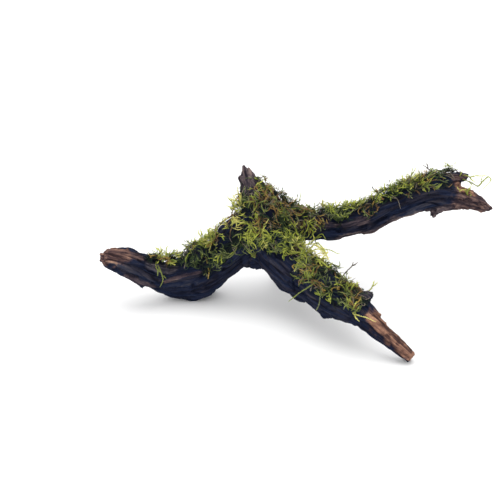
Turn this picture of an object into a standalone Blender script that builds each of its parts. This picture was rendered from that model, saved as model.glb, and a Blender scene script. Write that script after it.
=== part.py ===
"""Java moss on a branching piece of driftwood: the wood, parted at its forks, and the moss that lies on it.

Metres, +Z up. X runs along the length, with the club-shaped limb at -X, and the front leg comes towards -Y.
The wood stands on three worn feet in the plane z = 0, and the origin is the middle of the base.
Every limb is a loft through stations along its line. All limbs are fused in one skin and then parted.
"""

import math
from dataclasses import dataclass

import bmesh
import bpy
from mathutils import Matrix, Vector, noise
from mathutils.bvhtree import BVHTree

MM = 0.001

# Facets: voxel size, spacing, sides and least count of a limb's sections, and triangles left in each skin
VOXEL = 1.1 * MM
SECTION_STEP = 2.5
SECTION_SIDES = 36
LEAST_SECTIONS = 4
WOOD_TRIANGLES = 4900
MOSS_TRIANGLES = 2000
CORE_TRIANGLES = 2600
FINE = 8

# Gaps between the parted pieces, and between the moss and the wood, and the fineness of the cuts
KERF = 0.3 * MM
MOSS_GAP = 1.0 * MM
KERF_SIDES = 24
FORK_STEPS = 100

# Weathering: valleys round a limb and their length in millimetres, and depths as shares of the radius
FLUTES = 2.4
FLUTE_LENGTH = 75.0
FLUTE_DEPTH = 0.55
FLUTE_MEAN = 0.24
FINE_FLUTES = 2.1
FINE_FLUTE_SHARE = 0.4
LUMP_ROUND = 1.1
LUMP_LENGTH = 15.0
LUMP_DEPTH = 0.07

# Ribs: how far they wander, over what length, how soon they fade in, and their most as a share of the radius
RIB_WANDER = 14.0
RIB_WANDER_LENGTH = 22.0
RIB_FADE = 0.08
RIB_MOST = 0.35

# Moss: sections of a mat, its lumps and their size, how it closes at an end, and its least thickness
MAT_SECTIONS = 40
MAT_ROUNDING = 6
MAT_LEAST = 2.0
MOSS_LUMP = 1.5
MOSS_LUMP_SIZE = 6.5
MOSS_FINE_LUMPS = 2.3
MOSS_FINE_SHARE = 0.6
MOSS_END = 3.0
MOSS_LEAST = 2.4
MOSS_EDGE = (-1.9, -0.5)
MOSS_WEATHERING = 0.3


@dataclass(frozen=True)
class Rib:
    """A ridge, or with a negative height a crack, along a limb from start to end, as shares of its length."""

    angle: float
    width: float
    height: float
    start: float
    end: float


@dataclass(frozen=True)
class Limb:
    """A tapering limb, from stations of x, y, z, half-width across and half-height, in millimetres."""

    stations: tuple
    facing: tuple = (0.0, 0.0, 1.0)
    ribs: tuple = ()
    seed: float = 0.0
    weathering: float = 1.0


# The wood. A rib's angle is 0 on the front of a limb that runs to +X, and 90 on its top.
CLUB = Limb(
    stations=(
        (-106.0, -6.0, 37.0, 3.6, 3.6),
        (-102.5, -6.0, 36.5, 7.4, 7.0),
        (-94.5, -6.0, 35.0, 8.8, 8.5),
        (-85.0, -6.0, 31.5, 10.2, 10.0),
        (-74.5, -5.0, 25.5, 11.0, 10.8),
        (-65.0, -4.0, 21.0, 10.6, 10.0),
        (-55.0, -2.0, 22.5, 10.0, 8.6),
        (-43.5, 0.0, 26.0, 11.0, 9.4),
        (-32.5, 2.0, 30.0, 12.6, 11.4),
        (-21.0, 4.0, 33.0, 14.4, 13.8),
        (-11.5, 6.0, 40.0, 16.0, 16.0),
        (0.0, 7.0, 48.5, 17.0, 17.0),
        (13.0, 8.0, 56.0, 16.6, 16.6),
    ),
    ribs=(
        Rib(-42.0, 16.0, 1.9, 0.10, 0.38),
        Rib(-20.0, 12.0, -2.0, 0.08, 0.42),
        Rib(18.0, 14.0, 1.6, 0.04, 0.4),
        Rib(48.0, 12.0, -1.6, 0.10, 0.5),
        Rib(95.0, 14.0, 1.4, 0.06, 0.34),
        Rib(150.0, 18.0, 2.0, 0.10, 0.8),
        Rib(200.0, 14.0, -2.0, 0.05, 0.7),
    ),
    seed=3.0,
)
BELLY = Limb(
    stations=(
        (-78.0, -5.0, 21.5, 3.0, 2.8),
        (-66.5, -4.0, 16.0, 7.6, 6.8),
        (-56.0, -1.0, 12.0, 10.4, 9.4),
        (-45.0, 1.5, 11.0, 12.0, 11.0),
        (-37.0, 2.5, 11.2, 12.4, 11.4),
        (-30.0, 3.5, 15.5, 12.4, 11.0),
        (-24.0, 4.0, 22.8, 12.4, 10.7),
        (-16.5, 5.0, 31.5, 12.0, 10.8),
    ),
    ribs=(Rib(62.0, 20.0, -1.8, 0.05, 0.9), Rib(24.0, 14.0, 1.3, 0.1, 0.8), Rib(-40.0, 13.0, 1.0, 0.1, 0.7)),
    seed=11.0,
)
WEB = Limb(
    stations=(
        (-8.5, 5.0, 42.5, 13.0, 14.0),
        (3.0, 5.0, 40.5, 13.0, 13.6),
        (14.5, 4.0, 42.0, 14.0, 14.6),
    ),
    seed=15.0,
)
STUB = Limb(
    stations=(
        (13.0, 8.0, 55.5, 17.0, 15.0),
        (9.5, 12.0, 65.5, 15.8, 14.0),
        (5.0, 16.5, 73.0, 13.0, 11.5),
        (2.0, 22.0, 79.0, 9.2, 7.6),
        (-0.5, 26.0, 82.5, 7.2, 5.4),
        (-2.0, 28.0, 85.5, 5.6, 4.0),
    ),
    facing=(0.0, -1.0, 0.25),
    ribs=(Rib(90.0, 18.0, 1.5, 0.5, 1.0), Rib(128.0, 14.0, -1.8, 0.5, 1.0), Rib(52.0, 14.0, -1.6, 0.5, 1.0)),
    seed=19.0,
)
STUB_SPLINTER = Limb(
    stations=(
        (-1.0, 26.0, 82.5, 4.8, 3.8),
        (-2.4, 28.6, 87.0, 3.6, 2.8),
        (-3.3, 30.2, 90.2, 2.8, 2.2),
        (-4.0, 30.8, 92.8, 2.0, 1.6),
    ),
    facing=(0.0, -1.0, 0.25),
    seed=23.0,
    weathering=0.5,
)
STUB_CHIP = Limb(
    stations=(
        (-2.0, 24.5, 80.0, 4.2, 3.6),
        (-5.0, 26.5, 82.6, 3.2, 2.8),
        (-7.2, 27.7, 84.0, 2.4, 2.0),
    ),
    facing=(0.0, -1.0, 0.25),
    seed=27.0,
    weathering=0.5,
)
ARM = Limb(
    stations=(
        (13.0, 8.0, 57.0, 16.5, 15.5),
        (30.5, 11.0, 54.0, 12.6, 12.3),
        (47.0, 14.0, 51.8, 10.4, 9.6),
        (62.0, 18.0, 50.3, 10.4, 10.0),
        (73.0, 20.5, 51.5, 10.4, 10.2),
        (85.0, 23.0, 54.0, 10.4, 10.4),
        (96.5, 26.0, 58.0, 10.3, 10.2),
        (110.0, 30.0, 62.5, 10.6, 10.5),
        (125.0, 34.0, 66.3, 11.2, 11.2),
        (136.0, 37.5, 66.3, 11.2, 11.2),
        (146.0, 40.0, 63.8, 10.4, 9.8),
        (153.0, 42.0, 61.5, 9.2, 8.4),
        (159.0, 43.0, 60.5, 8.8, 7.9),
        (165.0, 44.0, 58.5, 7.7, 6.9),
        (171.5, 44.5, 55.2, 6.1, 5.3),
        (178.0, 45.5, 51.8, 3.9, 3.2),
        (182.3, 46.0, 50.8, 1.2, 1.0),
    ),
    ribs=(
        Rib(2.0, 13.0, -2.2, 0.12, 0.72),
        Rib(-25.0, 12.0, 1.8, 0.2, 0.72),
        Rib(-50.0, 12.0, -1.8, 0.2, 0.7),
        Rib(32.0, 12.0, 1.5, 0.3, 0.76),
        Rib(-12.0, 13.0, 1.8, 0.78, 0.98),
        Rib(16.0, 10.0, -1.6, 0.74, 0.97),
        Rib(45.0, 12.0, 1.5, 0.76, 0.95),
        Rib(180.0, 16.0, -2.0, 0.2, 0.8),
        Rib(150.0, 14.0, 1.8, 0.2, 0.8),
    ),
    seed=31.0,
)
ARM_UPPER_LOBE = Limb(
    stations=(
        (126.0, 41.0, 72.0, 7.0, 6.0),
        (140.5, 45.0, 74.0, 6.4, 5.8),
        (149.5, 47.0, 75.0, 5.4, 4.7),
        (157.0, 49.0, 75.0, 4.6, 3.7),
        (162.5, 50.0, 75.2, 2.0, 1.7),
    ),
    seed=37.0,
)
ARM_SPUR = Limb(
    stations=(
        (141.0, 37.0, 61.5, 7.4, 7.0),
        (138.0, 35.0, 56.0, 5.4, 5.0),
        (136.5, 34.0, 52.5, 3.4, 3.2),
        (136.5, 33.2, 50.0, 1.6, 1.6),
        (136.5, 32.8, 48.3, 0.7, 0.7),
    ),
    facing=(0.0, -1.0, 0.0),
    seed=41.0,
    weathering=0.5,
)
LEG = Limb(
    stations=(
        (11.5, 8.0, 56.5, 16.5, 16.5),
        (17.0, -1.0, 45.0, 17.0, 16.6),
        (25.0, -10.0, 37.0, 16.4, 16.0),
        (35.0, -20.5, 31.8, 15.2, 14.6),
        (47.0, -34.0, 29.6, 14.0, 13.2),
        (58.0, -47.0, 27.8, 12.8, 11.6),
        (67.5, -57.0, 27.0, 11.8, 10.2),
        (75.5, -64.0, 24.6, 9.6, 8.4),
        (81.0, -69.5, 21.6, 7.6, 6.8),
        (86.0, -73.0, 18.6, 6.8, 5.8),
        (91.0, -76.5, 15.2, 6.2, 5.2),
        (97.0, -80.5, 11.0, 5.8, 4.8),
        (104.0, -84.0, 5.9, 5.4, 4.4),
        (109.0, -86.5, 3.0, 4.6, 3.7),
    ),
    ribs=(
        Rib(4.0, 13.0, -1.9, 0.30, 0.9),
        Rib(40.0, 15.0, 1.7, 0.25, 0.8),
        Rib(122.0, 20.0, 1.9, 0.55, 0.98),
        Rib(72.0, 12.0, -1.8, 0.6, 0.95),
        Rib(-30.0, 14.0, 1.4, 0.3, 0.8),
        Rib(200.0, 14.0, -1.8, 0.3, 0.9),
    ),
    seed=47.0,
)
LEG_PLATE = Limb(
    stations=(
        (60.0, -44.0, 32.0, 5.0, 4.2),
        (70.0, -50.0, 32.6, 6.0, 4.2),
        (78.0, -54.5, 32.4, 5.4, 3.8),
        (82.0, -57.0, 34.2, 3.4, 2.6),
        (83.8, -58.0, 37.0, 0.8, 0.7),
    ),
    seed=53.0,
    weathering=0.7,
)
HEEL = Limb(
    stations=(
        (18.0, 14.0, 54.0, 13.0, 13.0),
        (24.0, 22.0, 38.0, 11.0, 10.0),
        (28.5, 29.0, 20.0, 8.6, 8.0),
        (30.0, 32.0, 7.0, 8.0, 7.6),
        (30.0, 32.5, -1.5, 6.6, 6.4),
    ),
    facing=(0.0, -1.0, 0.0),
    ribs=(Rib(90.0, 18.0, 1.5, 0.3, 1.0), Rib(-60.0, 18.0, -1.5, 0.3, 1.0), Rib(200.0, 18.0, -1.5, 0.3, 1.0)),
    seed=59.0,
)
LIMBS = (
    CLUB,
    BELLY,
    WEB,
    STUB,
    STUB_SPLINTER,
    STUB_CHIP,
    ARM,
    ARM_UPPER_LOBE,
    ARM_SPUR,
    LEG,
    LEG_PLATE,
    HEEL,
)

# Pits and chips in the wood: x, y, z of the middle, radius and depth, in millimetres. Their middles are flat.
PIT_FLAT = 0.2
PITS = (
    (161.0, 36.5, 63.5, 4.2, 2.6),
    (150.0, 33.0, 61.0, 3.4, 1.6),
    (-97.0, -14.0, 34.0, 4.0, 1.6),
    (-84.0, -15.0, 26.0, 4.6, 1.8),
    (-50.0, -14.0, 14.0, 5.0, 1.8),
    (-31.0, -11.0, 19.0, 5.0, 2.0),
    (72.0, 11.0, 47.0, 5.0, 1.8),
    (104.0, 20.0, 56.0, 5.0, 2.0),
    (30.0, -25.0, 25.0, 5.0, 2.0),
    (52.0, -56.0, 20.0, 5.0, 1.8),
    (95.0, -78.0, 16.0, 3.4, 1.4),
    (-2.0, 22.0, 82.0, 3.4, 1.8),
    (0.0, 34.0, 84.0, 4.0, 2.0),
    (60.0, 30.0, 50.0, 6.0, 2.2),
    (-20.0, 20.0, 36.0, 6.0, 2.2),
)


def smooth_step(edge0, edge1, value):
    """0 before edge0, 1 after edge1, and smooth in between."""
    t = min(1.0, max(0.0, (value - edge0) / (edge1 - edge0)))
    return t * t * (3.0 - 2.0 * t)


def along(stations, count):
    """Points evenly spaced in the parameter of a Catmull-Rom curve through the stations."""
    ends = [stations[0], *stations, stations[-1]]
    made = []
    for i in range(count + 1):
        t = i / count * (len(stations) - 1)
        k = min(int(t), len(stations) - 2)
        f = t - k
        four = ends[k : k + 4]
        weights = (
            -0.5 * f**3 + f**2 - 0.5 * f,
            1.5 * f**3 - 2.5 * f**2 + 1.0,
            -1.5 * f**3 + 2.0 * f**2 + 0.5 * f,
            0.5 * f**3 - 0.5 * f**2,
        )
        made.append([sum(w * p[j] for w, p in zip(weights, four)) for j in range(len(stations[0]))])
    return made


def length_of(stations):
    """Length of the line through the stations."""
    return sum(math.dist(a[:3], b[:3]) for a, b in zip(stations, stations[1:]))


def turn_between(angle, centre):
    """Smallest difference between two angles, in degrees."""
    return abs((angle - centre + 180.0) % 360.0 - 180.0)


def relief(limb, angle, share, run):
    """Millimetres the surface stands out at this angle and share, and a factor on the radius."""
    a = math.radians(angle)
    across = Vector((math.cos(a), math.sin(a), 0.0))
    grain = across * FLUTES + Vector((0.0, 0.0, run / FLUTE_LENGTH * FLUTES + limb.seed))
    fine = FINE_FLUTE_SHARE * abs(noise.noise(grain * FINE_FLUTES))
    valleys = abs(noise.noise(grain)) + fine - FLUTE_MEAN
    lumps = noise.noise(across * LUMP_ROUND + Vector((0.0, 0.0, run / LUMP_LENGTH + 2.0 * limb.seed)))
    factor = 1.0 + limb.weathering * (FLUTE_DEPTH * valleys + LUMP_DEPTH * lumps)
    out = 0.0
    for rib in limb.ribs:
        wander = noise.noise(Vector((run / RIB_WANDER_LENGTH, rib.angle, limb.seed)))
        off = turn_between(angle, rib.angle + RIB_WANDER * wander)
        fade_in = smooth_step(rib.start, rib.start + RIB_FADE, share)
        fade_out = 1.0 - smooth_step(rib.end - RIB_FADE, rib.end, share)
        out += rib.height * (1.0 - smooth_step(0.0, rib.width, off)) * fade_in * fade_out
    return out, factor


def loft(bm, limb):
    """Adds the limb's closed tube to bm: rings across the smooth line through its stations, with two caps."""
    total = length_of(limb.stations)
    count = max(LEAST_SECTIONS, round(total / SECTION_STEP))
    rows = along(limb.stations, count)
    facing = Vector(limb.facing)
    rings = []
    run = 0.0
    for i, (x, y, z, across, tall) in enumerate(rows):
        before = Vector(rows[max(i - 1, 0)][:3])
        after = Vector(rows[min(i + 1, count)][:3])
        ahead = (after - before).normalized()
        up = (facing - ahead * facing.dot(ahead)).normalized()
        side = ahead.cross(up)
        run += (Vector((x, y, z)) - before).length
        ring = []
        for k in range(SECTION_SIDES):
            angle = 360.0 * k / SECTION_SIDES
            out, factor = relief(limb, angle, i / count, run)
            a = math.radians(angle)
            flat = side * (math.cos(a) * across) + up * (math.sin(a) * tall)
            reach = flat * factor + flat.normalized() * min(out, RIB_MOST * min(across, tall))
            ring.append(bm.verts.new((Vector((x, y, z)) + reach) * MM))
        rings.append(ring)
    for lower, upper in zip(rings, rings[1:]):
        for k in range(SECTION_SIDES):
            n = (k + 1) % SECTION_SIDES
            bm.faces.new((lower[k], lower[n], upper[n], upper[k]))
    bm.faces.new(list(reversed(rings[0])))
    bm.faces.new(rings[-1])


@dataclass(frozen=True)
class Mat:
    """Moss over part of a limb, from start to end of its length, and how far it stands out of the wood there.

    Lift moves the mat off the limb's own line along its lean, so that the moss is thick on that side and gone
    on the other.
    """

    limb: Limb
    start: float
    end: float
    lift: float
    reach: float
    lean: tuple = (0.0, 0.0, 1.0)
    seed: float = 0.0


MATS = (
    Mat(CLUB, 0.36, 0.72, 6.8, 4.0, (0.0, -0.1, 1.0), 5.0),
    Mat(CLUB, 0.64, 1.0, 4.8, 4.0, (-0.15, -0.6, 0.75), 7.0),
    Mat(STUB, 0.0, 0.66, 3.4, 4.2, (0.1, -1.0, 0.35), 13.0),
    Mat(ARM, 0.0, 0.32, 5.0, 4.2, (0.0, -0.45, 0.9), 17.0),
    Mat(ARM, 0.24, 0.74, 7.8, 3.8, (0.0, 0.0, 1.0), 21.0),
    Mat(ARM_UPPER_LOBE, 0.05, 0.6, 3.6, 1.4, (0.0, -0.1, 1.0), 25.0),
    Mat(LEG, 0.0, 0.32, 4.8, 4.2, (0.0, -0.7, 0.75), 27.0),
    Mat(LEG, 0.2, 0.66, 5.2, 4.2, (0.4, -0.4, 0.8), 29.0),
)

# Tufts that stand up from the mats: x, y, z of the middle and radius, in millimetres.
TUFT_SUBDIVISIONS = 3
TUFTS = (
    (-67.0, -5.0, 34.5, 5.0),
    (-57.0, -4.0, 34.5, 4.5),
    (-36.0, -6.0, 42.0, 5.0),
    (-23.0, -5.0, 48.0, 5.0),
    (-9.5, 2.0, 60.0, 6.0),
    (-8.5, 7.0, 68.0, 5.5),
    (8.0, 8.0, 79.0, 6.0),
    (19.0, 8.0, 76.0, 6.0),
    (29.0, 9.0, 68.5, 5.5),
    (30.0, -18.0, 54.0, 5.5),
    (56.0, -36.0, 42.0, 5.0),
    (90.0, 23.0, 67.0, 5.0),
    (112.0, 29.0, 74.5, 5.0),
    (127.0, 34.0, 79.0, 5.0),
)


def moss_stations(mat):
    """Stations of a mat's own closed form, which rounds off at both ends."""
    rows = along(mat.limb.stations, MAT_SECTIONS)
    first = round(mat.start * MAT_SECTIONS)
    last = round(mat.end * MAT_SECTIONS)
    lean = Vector(mat.lean).normalized()
    made = []
    for i in range(first, last + 1):
        x, y, z, across, tall = rows[i]
        from_middle = abs(2.0 * (i - first) / (last - first) - 1.0)
        swell = math.sqrt(1.0 - from_middle**MAT_ROUNDING)
        centre = Vector((x, y, z)) + lean * (mat.lift * swell)
        grow = (mat.reach - mat.lift) * swell - MOSS_END * (1.0 - swell)
        made.append((*centre, max(MAT_LEAST, across + grow), max(MAT_LEAST, tall + grow)))
    return tuple(made)


def cling(mats, wood):
    """Lifts the mats clear of the wood where they run just under its skin, and gives them rounded lumps."""
    corners = [v.co for v in wood.data.vertices]
    tree = BVHTree.FromPolygons(corners, [p.vertices for p in wood.data.polygons])
    for v in mats.data.vertices:
        near, normal, _, _ = tree.find_nearest(v.co)
        height = (v.co - near).dot(normal) / MM
        spot = v.co / (MOSS_LUMP_SIZE * MM)
        lump = noise.noise(spot) + MOSS_FINE_SHARE * noise.noise(spot * MOSS_FINE_LUMPS)
        raised = max(0.0, MOSS_LEAST - height) + MOSS_LUMP * lump
        v.co += normal * (raised * smooth_step(*MOSS_EDGE, height) * MM)


def new_object(name, bm):
    """A mesh object from bm, in the scene's own collection."""
    mesh = bpy.data.meshes.new(name)
    bm.normal_update()
    bmesh.ops.recalc_face_normals(bm, faces=bm.faces)
    bm.to_mesh(mesh)
    bm.free()
    made = bpy.data.objects.new(name, mesh)
    bpy.context.scene.collection.objects.link(made)
    return made


def bake(obj):
    """Makes the object's evaluated mesh its own, with no modifier left."""
    bpy.context.view_layer.update()
    graph = bpy.context.evaluated_depsgraph_get()
    obj.data = bpy.data.meshes.new_from_object(obj.evaluated_get(graph))
    obj.modifiers.clear()
    return obj


def fused(obj, triangles, smoothing):
    """One skin round all the closed shapes in the object, smoothed and brought down to so many triangles."""
    skin = obj.modifiers.new("skin", "REMESH")
    skin.mode = "VOXEL"
    skin.voxel_size = VOXEL
    soft = obj.modifiers.new("soften", "SMOOTH")
    soft.iterations = smoothing
    bake(obj)
    count = sum(len(p.vertices) - 2 for p in obj.data.polygons)
    if count > triangles:
        thin = obj.modifiers.new("thin", "DECIMATE")
        thin.ratio = triangles / count
        thin.use_collapse_triangulate = True
        bake(obj)
    return obj


def cut(obj, cutter):
    """Takes the cutter's shape out of the object."""
    step = obj.modifiers.new(cutter.name, "BOOLEAN")
    step.operation = "DIFFERENCE"
    step.solver = "EXACT"
    step.object = cutter
    return bake(obj)


def driftwood():
    """All limbs in one skin, trimmed flat where it stands."""
    bm = bmesh.new()
    for limb in LIMBS:
        loft(bm, limb)
    wood = fused(new_object("driftwood", bm), FINE * WOOD_TRIANGLES, 1)
    dent(wood)
    fused(wood, WOOD_TRIANGLES, 0)
    trim_at_floor(wood)
    return wood


def dent(obj):
    """Presses the pits into the wood."""
    for x, y, z, radius, depth in PITS:
        middle = Vector((x, y, z)) * MM
        for v in obj.data.vertices:
            near = (v.co - middle).length / (radius * MM)
            if near < 1.0:
                v.co -= v.normal * (depth * MM * (1.0 - smooth_step(PIT_FLAT, 1.0, near)))


def trim_at_floor(obj):
    """Cuts off what is below z = 0 and closes the cuts, which leaves the worn feet."""
    bm = bmesh.new()
    bm.from_mesh(obj.data)
    every = bm.verts[:] + bm.edges[:] + bm.faces[:]
    down = (0.0, 0.0, -1.0)
    made = bmesh.ops.bisect_plane(bm, geom=every, plane_co=(0.0, 0.0, 0.0), plane_no=down, clear_outer=True)
    rim = [e for e in made["geom_cut"] if isinstance(e, bmesh.types.BMEdge)]
    bmesh.ops.edgeloop_fill(bm, edges=rim)
    bmesh.ops.triangulate(bm, faces=bm.faces)
    bm.to_mesh(obj.data)
    bm.free()


def moss(wood):
    """All mats and tufts in one skin, hollowed where the wood is."""
    bm = bmesh.new()
    for mat in MATS:
        form = Limb(moss_stations(mat), mat.limb.facing, seed=mat.seed, weathering=MOSS_WEATHERING)
        loft(bm, form)
    for x, y, z, radius in TUFTS:
        place = Matrix.Translation(Vector((x, y, z)) * MM)
        bmesh.ops.create_icosphere(bm, subdivisions=TUFT_SUBDIVISIONS, radius=radius * MM, matrix=place)
    mats = fused(new_object("moss", bm), FINE * MOSS_TRIANGLES, 1)
    cling(mats, wood)
    fused(mats, MOSS_TRIANGLES, 0)
    core = wood.copy()
    core.data = wood.data.copy()
    core.name = "wood_core"
    bpy.context.scene.collection.objects.link(core)
    grow = core.modifiers.new("grow", "DISPLACE")
    grow.strength = MOSS_GAP
    grow.mid_level = 0.0
    return cut(mats, helper(fused(core, CORE_TRIANGLES, 0)))


def helper(obj):
    """Keeps a cutter out of the build, and returns it."""
    obj.hide_render = True
    obj.display_type = "WIRE"
    return obj


@dataclass(frozen=True)
class Fork:
    """Where a limb is parted: its share of the length, the cut's radius, and if the moss is cut too."""

    limb: Limb
    share: float
    radius: float
    through_moss: bool = True


FORKS = (
    Fork(CLUB, 0.80, 30.0),
    Fork(STUB, 0.52, 19.0, False),
    Fork(ARM, 0.19, 24.0),
    Fork(LEG, 0.17, 31.0),
    Fork(HEEL, 0.34, 14.0, False),
)


def kerf(fork):
    """A thin round saw cut across a limb at a fork."""
    rows = along(fork.limb.stations, FORK_STEPS)
    i = round(fork.share * FORK_STEPS)
    here = Vector(rows[i][:3])
    ahead = Vector(rows[i + 1][:3]) - Vector(rows[i - 1][:3])
    turn = ahead.to_track_quat("Z", "Y").to_matrix().to_4x4()
    radius = fork.radius * MM
    bm = bmesh.new()
    bmesh.ops.create_cone(
        bm, cap_ends=True, segments=KERF_SIDES, radius1=radius, radius2=radius, depth=KERF
    )
    bm.transform(Matrix.Translation(here * MM) @ turn)
    return helper(new_object("kerf", bm))


def bodies_of(obj):
    """The separate closed bodies of a mesh object, largest first, each a new object."""
    bpy.ops.object.select_all(action="DESELECT")
    obj.select_set(True)
    bpy.context.view_layer.objects.active = obj
    bpy.ops.object.mode_set(mode="EDIT")
    bpy.ops.mesh.select_all(action="SELECT")
    bpy.ops.mesh.separate(type="LOOSE")
    bpy.ops.object.mode_set(mode="OBJECT")
    found = list(bpy.context.selected_objects)
    return sorted(found, key=lambda o: -volume_of(o))


def volume_of(obj):
    """Volume of a closed mesh, in cubic metres."""
    bm = bmesh.new()
    bm.from_mesh(obj.data)
    volume = bm.calc_volume()
    bm.free()
    return volume


def middle_of(obj):
    """Mean of the object's points."""
    points = [v.co for v in obj.data.vertices]
    return sum(points, Vector()) / len(points)


# Pieces: name, family and usual middle, in millimetres. A loose body smaller than LEAST_BODY is a crumb.
PIECES = (
    ("driftwood_crown", "wood", (12.0, 6.0, 50.0)),
    ("club_limb", "wood", (-50.0, -2.0, 25.0)),
    ("back_stub", "wood", (5.0, 21.0, 81.0)),
    ("long_arm", "wood", (113.0, 32.0, 59.0)),
    ("front_leg", "wood", (65.0, -50.0, 25.0)),
    ("heel_root", "wood", (28.0, 29.0, 17.0)),
    ("moss_club", "moss", (-41.0, -2.0, 42.0)),
    ("moss_crown", "moss", (13.0, 3.0, 63.0)),
    ("moss_arm", "moss", (107.0, 30.0, 68.0)),
    ("moss_leg", "moss", (60.0, -43.0, 36.0)),
)
LEAST_BODY = 1500.0 * MM**3
WELD = 0.02 * MM
COLLECTION = "moss_on_driftwood"


@dataclass(frozen=True)
class Finish:
    """Plain colour, roughness and name of one material."""

    name: str
    colour: tuple
    roughness: float


FINISHES = {
    "wood": Finish("dark_driftwood", (0.05, 0.035, 0.028, 1.0), 0.8),
    "moss": Finish("java_moss", (0.16, 0.2, 0.03, 1.0), 0.9),
}


def named(bodies, family):
    """The bodies, each named after the nearest piece of its family, without the crumbs the cuts leave."""
    kept = {}
    for body in bodies:
        if volume_of(body) < LEAST_BODY:
            bpy.data.objects.remove(body, do_unlink=True)
            continue
        middle = middle_of(body)
        free = [p for p in PIECES if p[1] == family and p[0] not in kept]
        name = min(free, key=lambda p: (Vector(p[2]) * MM - middle).length)[0]
        kept[name] = body
    for name, body in kept.items():
        body.name = name
        body.data.name = name
    return list(kept.values())


def tidy(obj, family):
    """Welds specks, makes triangles that face out, shades smooth and gives the piece its own material."""
    bm = bmesh.new()
    bm.from_mesh(obj.data)
    bmesh.ops.remove_doubles(bm, verts=bm.verts, dist=WELD)
    bmesh.ops.dissolve_degenerate(bm, edges=bm.edges, dist=WELD)
    bmesh.ops.triangulate(bm, faces=bm.faces)
    bmesh.ops.recalc_face_normals(bm, faces=bm.faces)
    bm.to_mesh(obj.data)
    bm.free()
    obj.data.shade_smooth()
    look = FINISHES[family]
    material = bpy.data.materials.new(f"{look.name}_{obj.name}")
    material.use_nodes = True
    shader = material.node_tree.nodes["Principled BSDF"]
    shader.inputs["Base Color"].default_value = look.colour
    shader.inputs["Roughness"].default_value = look.roughness
    material.diffuse_color = look.colour
    obj.data.materials.clear()
    obj.data.materials.append(material)


def centre_on_base(bodies):
    """Moves all bodies so that the middle of the base of their common box is the origin."""
    points = [v.co for body in bodies for v in body.data.vertices]
    low = Vector(min(p[i] for p in points) for i in range(3))
    high = Vector(max(p[i] for p in points) for i in range(3))
    middle = (low + high) / 2.0
    shift = Matrix.Translation((-middle.x, -middle.y, -low.z))
    for body in bodies:
        body.data.transform(shift)


def into_collection(objects, name, hidden):
    """Moves objects to a collection of their own."""
    made = bpy.data.collections.new(name)
    bpy.context.scene.collection.children.link(made)
    made.hide_render = hidden
    for obj in objects:
        for old in list(obj.users_collection):
            old.objects.unlink(obj)
        made.objects.link(obj)


def main():
    for obj in list(bpy.data.objects):
        bpy.data.objects.remove(obj, do_unlink=True)
    wood = driftwood()
    mats = moss(wood)
    for fork in FORKS:
        disc = kerf(fork)
        cut(wood, disc)
        if fork.through_moss:
            cut(mats, disc)
    solids = []
    for whole, family in ((wood, "wood"), (mats, "moss")):
        for piece in named(bodies_of(whole), family):
            tidy(piece, family)
            solids.append(piece)
    centre_on_base(solids)
    into_collection(solids, COLLECTION, False)
    cutters = [o for o in bpy.data.objects if o not in solids]
    into_collection(cutters, "cutters", True)


main()
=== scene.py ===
"""Java moss growing over a branching piece of dark driftwood.

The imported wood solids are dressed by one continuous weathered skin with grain, cracks, pits and worn brown
ends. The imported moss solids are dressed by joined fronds: slender stems with two rows of small leaves.
Sizes in the classes are in millimetres, and finished meshes are in metres.
"""

import logging
import math
from dataclasses import dataclass, fields
from enum import Enum

import bpy
import numpy as np
from mathutils import Matrix, Vector
from mathutils.bvhtree import BVHTree
from mathutils.kdtree import KDTree


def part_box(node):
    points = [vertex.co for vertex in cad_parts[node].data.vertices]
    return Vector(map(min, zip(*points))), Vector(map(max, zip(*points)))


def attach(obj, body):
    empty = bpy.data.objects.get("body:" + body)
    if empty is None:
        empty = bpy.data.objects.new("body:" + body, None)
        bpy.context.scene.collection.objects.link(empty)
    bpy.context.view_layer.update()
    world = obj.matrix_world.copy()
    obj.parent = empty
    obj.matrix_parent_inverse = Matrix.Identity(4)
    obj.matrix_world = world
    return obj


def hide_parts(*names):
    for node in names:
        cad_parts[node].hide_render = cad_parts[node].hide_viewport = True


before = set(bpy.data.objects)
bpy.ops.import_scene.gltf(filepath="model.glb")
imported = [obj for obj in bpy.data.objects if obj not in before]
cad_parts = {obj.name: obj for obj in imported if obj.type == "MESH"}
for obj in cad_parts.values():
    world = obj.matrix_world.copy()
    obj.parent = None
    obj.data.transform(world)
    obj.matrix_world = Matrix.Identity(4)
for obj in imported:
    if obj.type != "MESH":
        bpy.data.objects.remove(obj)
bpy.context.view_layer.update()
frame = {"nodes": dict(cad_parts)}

LOG = logging.getLogger("moss_on_driftwood")
MM = 0.001
BAKE_MAP = "OFBake"
EPSILON = 1e-9
DOUBLED_POINTS = 1e-6

WOOD_NODES = ("driftwood_crown", "club_limb", "back_stub", "long_arm", "front_leg", "heel_root")
MOSS_NODES = ("moss_crown", "moss_club", "moss_arm", "moss_leg")

Array = np.ndarray
Point = tuple[float, float, float]
Colour = tuple[float, float, float]
Range = tuple[float, float]


class Slot(Enum):
    """The record's material slots."""

    WOOD = "driftwood"
    MOSS = "java_moss"


# Number helpers


def smooth_step(low: float, high: float, value: Array) -> Array:
    """Ease from 0 at low to 1 at high.

    Args:
        low: Where the result is 0.
        high: Where the result is 1. It may lie below low.
        value: Numbers to ease.

    Returns:
        Numbers from 0 to 1.
    """
    t = np.clip((value - low) / (high - low), 0.0, 1.0)
    return t * t * (3.0 - 2.0 * t)


def unit(vectors: Array) -> Array:
    """Vectors of length 1 in the same directions."""
    return vectors / np.maximum(np.linalg.norm(vectors, axis=-1, keepdims=True), EPSILON)


def dots(a: Array, b: Array) -> Array:
    """Dot products along the last axis, kept as a column."""
    return (a * b).sum(-1, keepdims=True)


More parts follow.
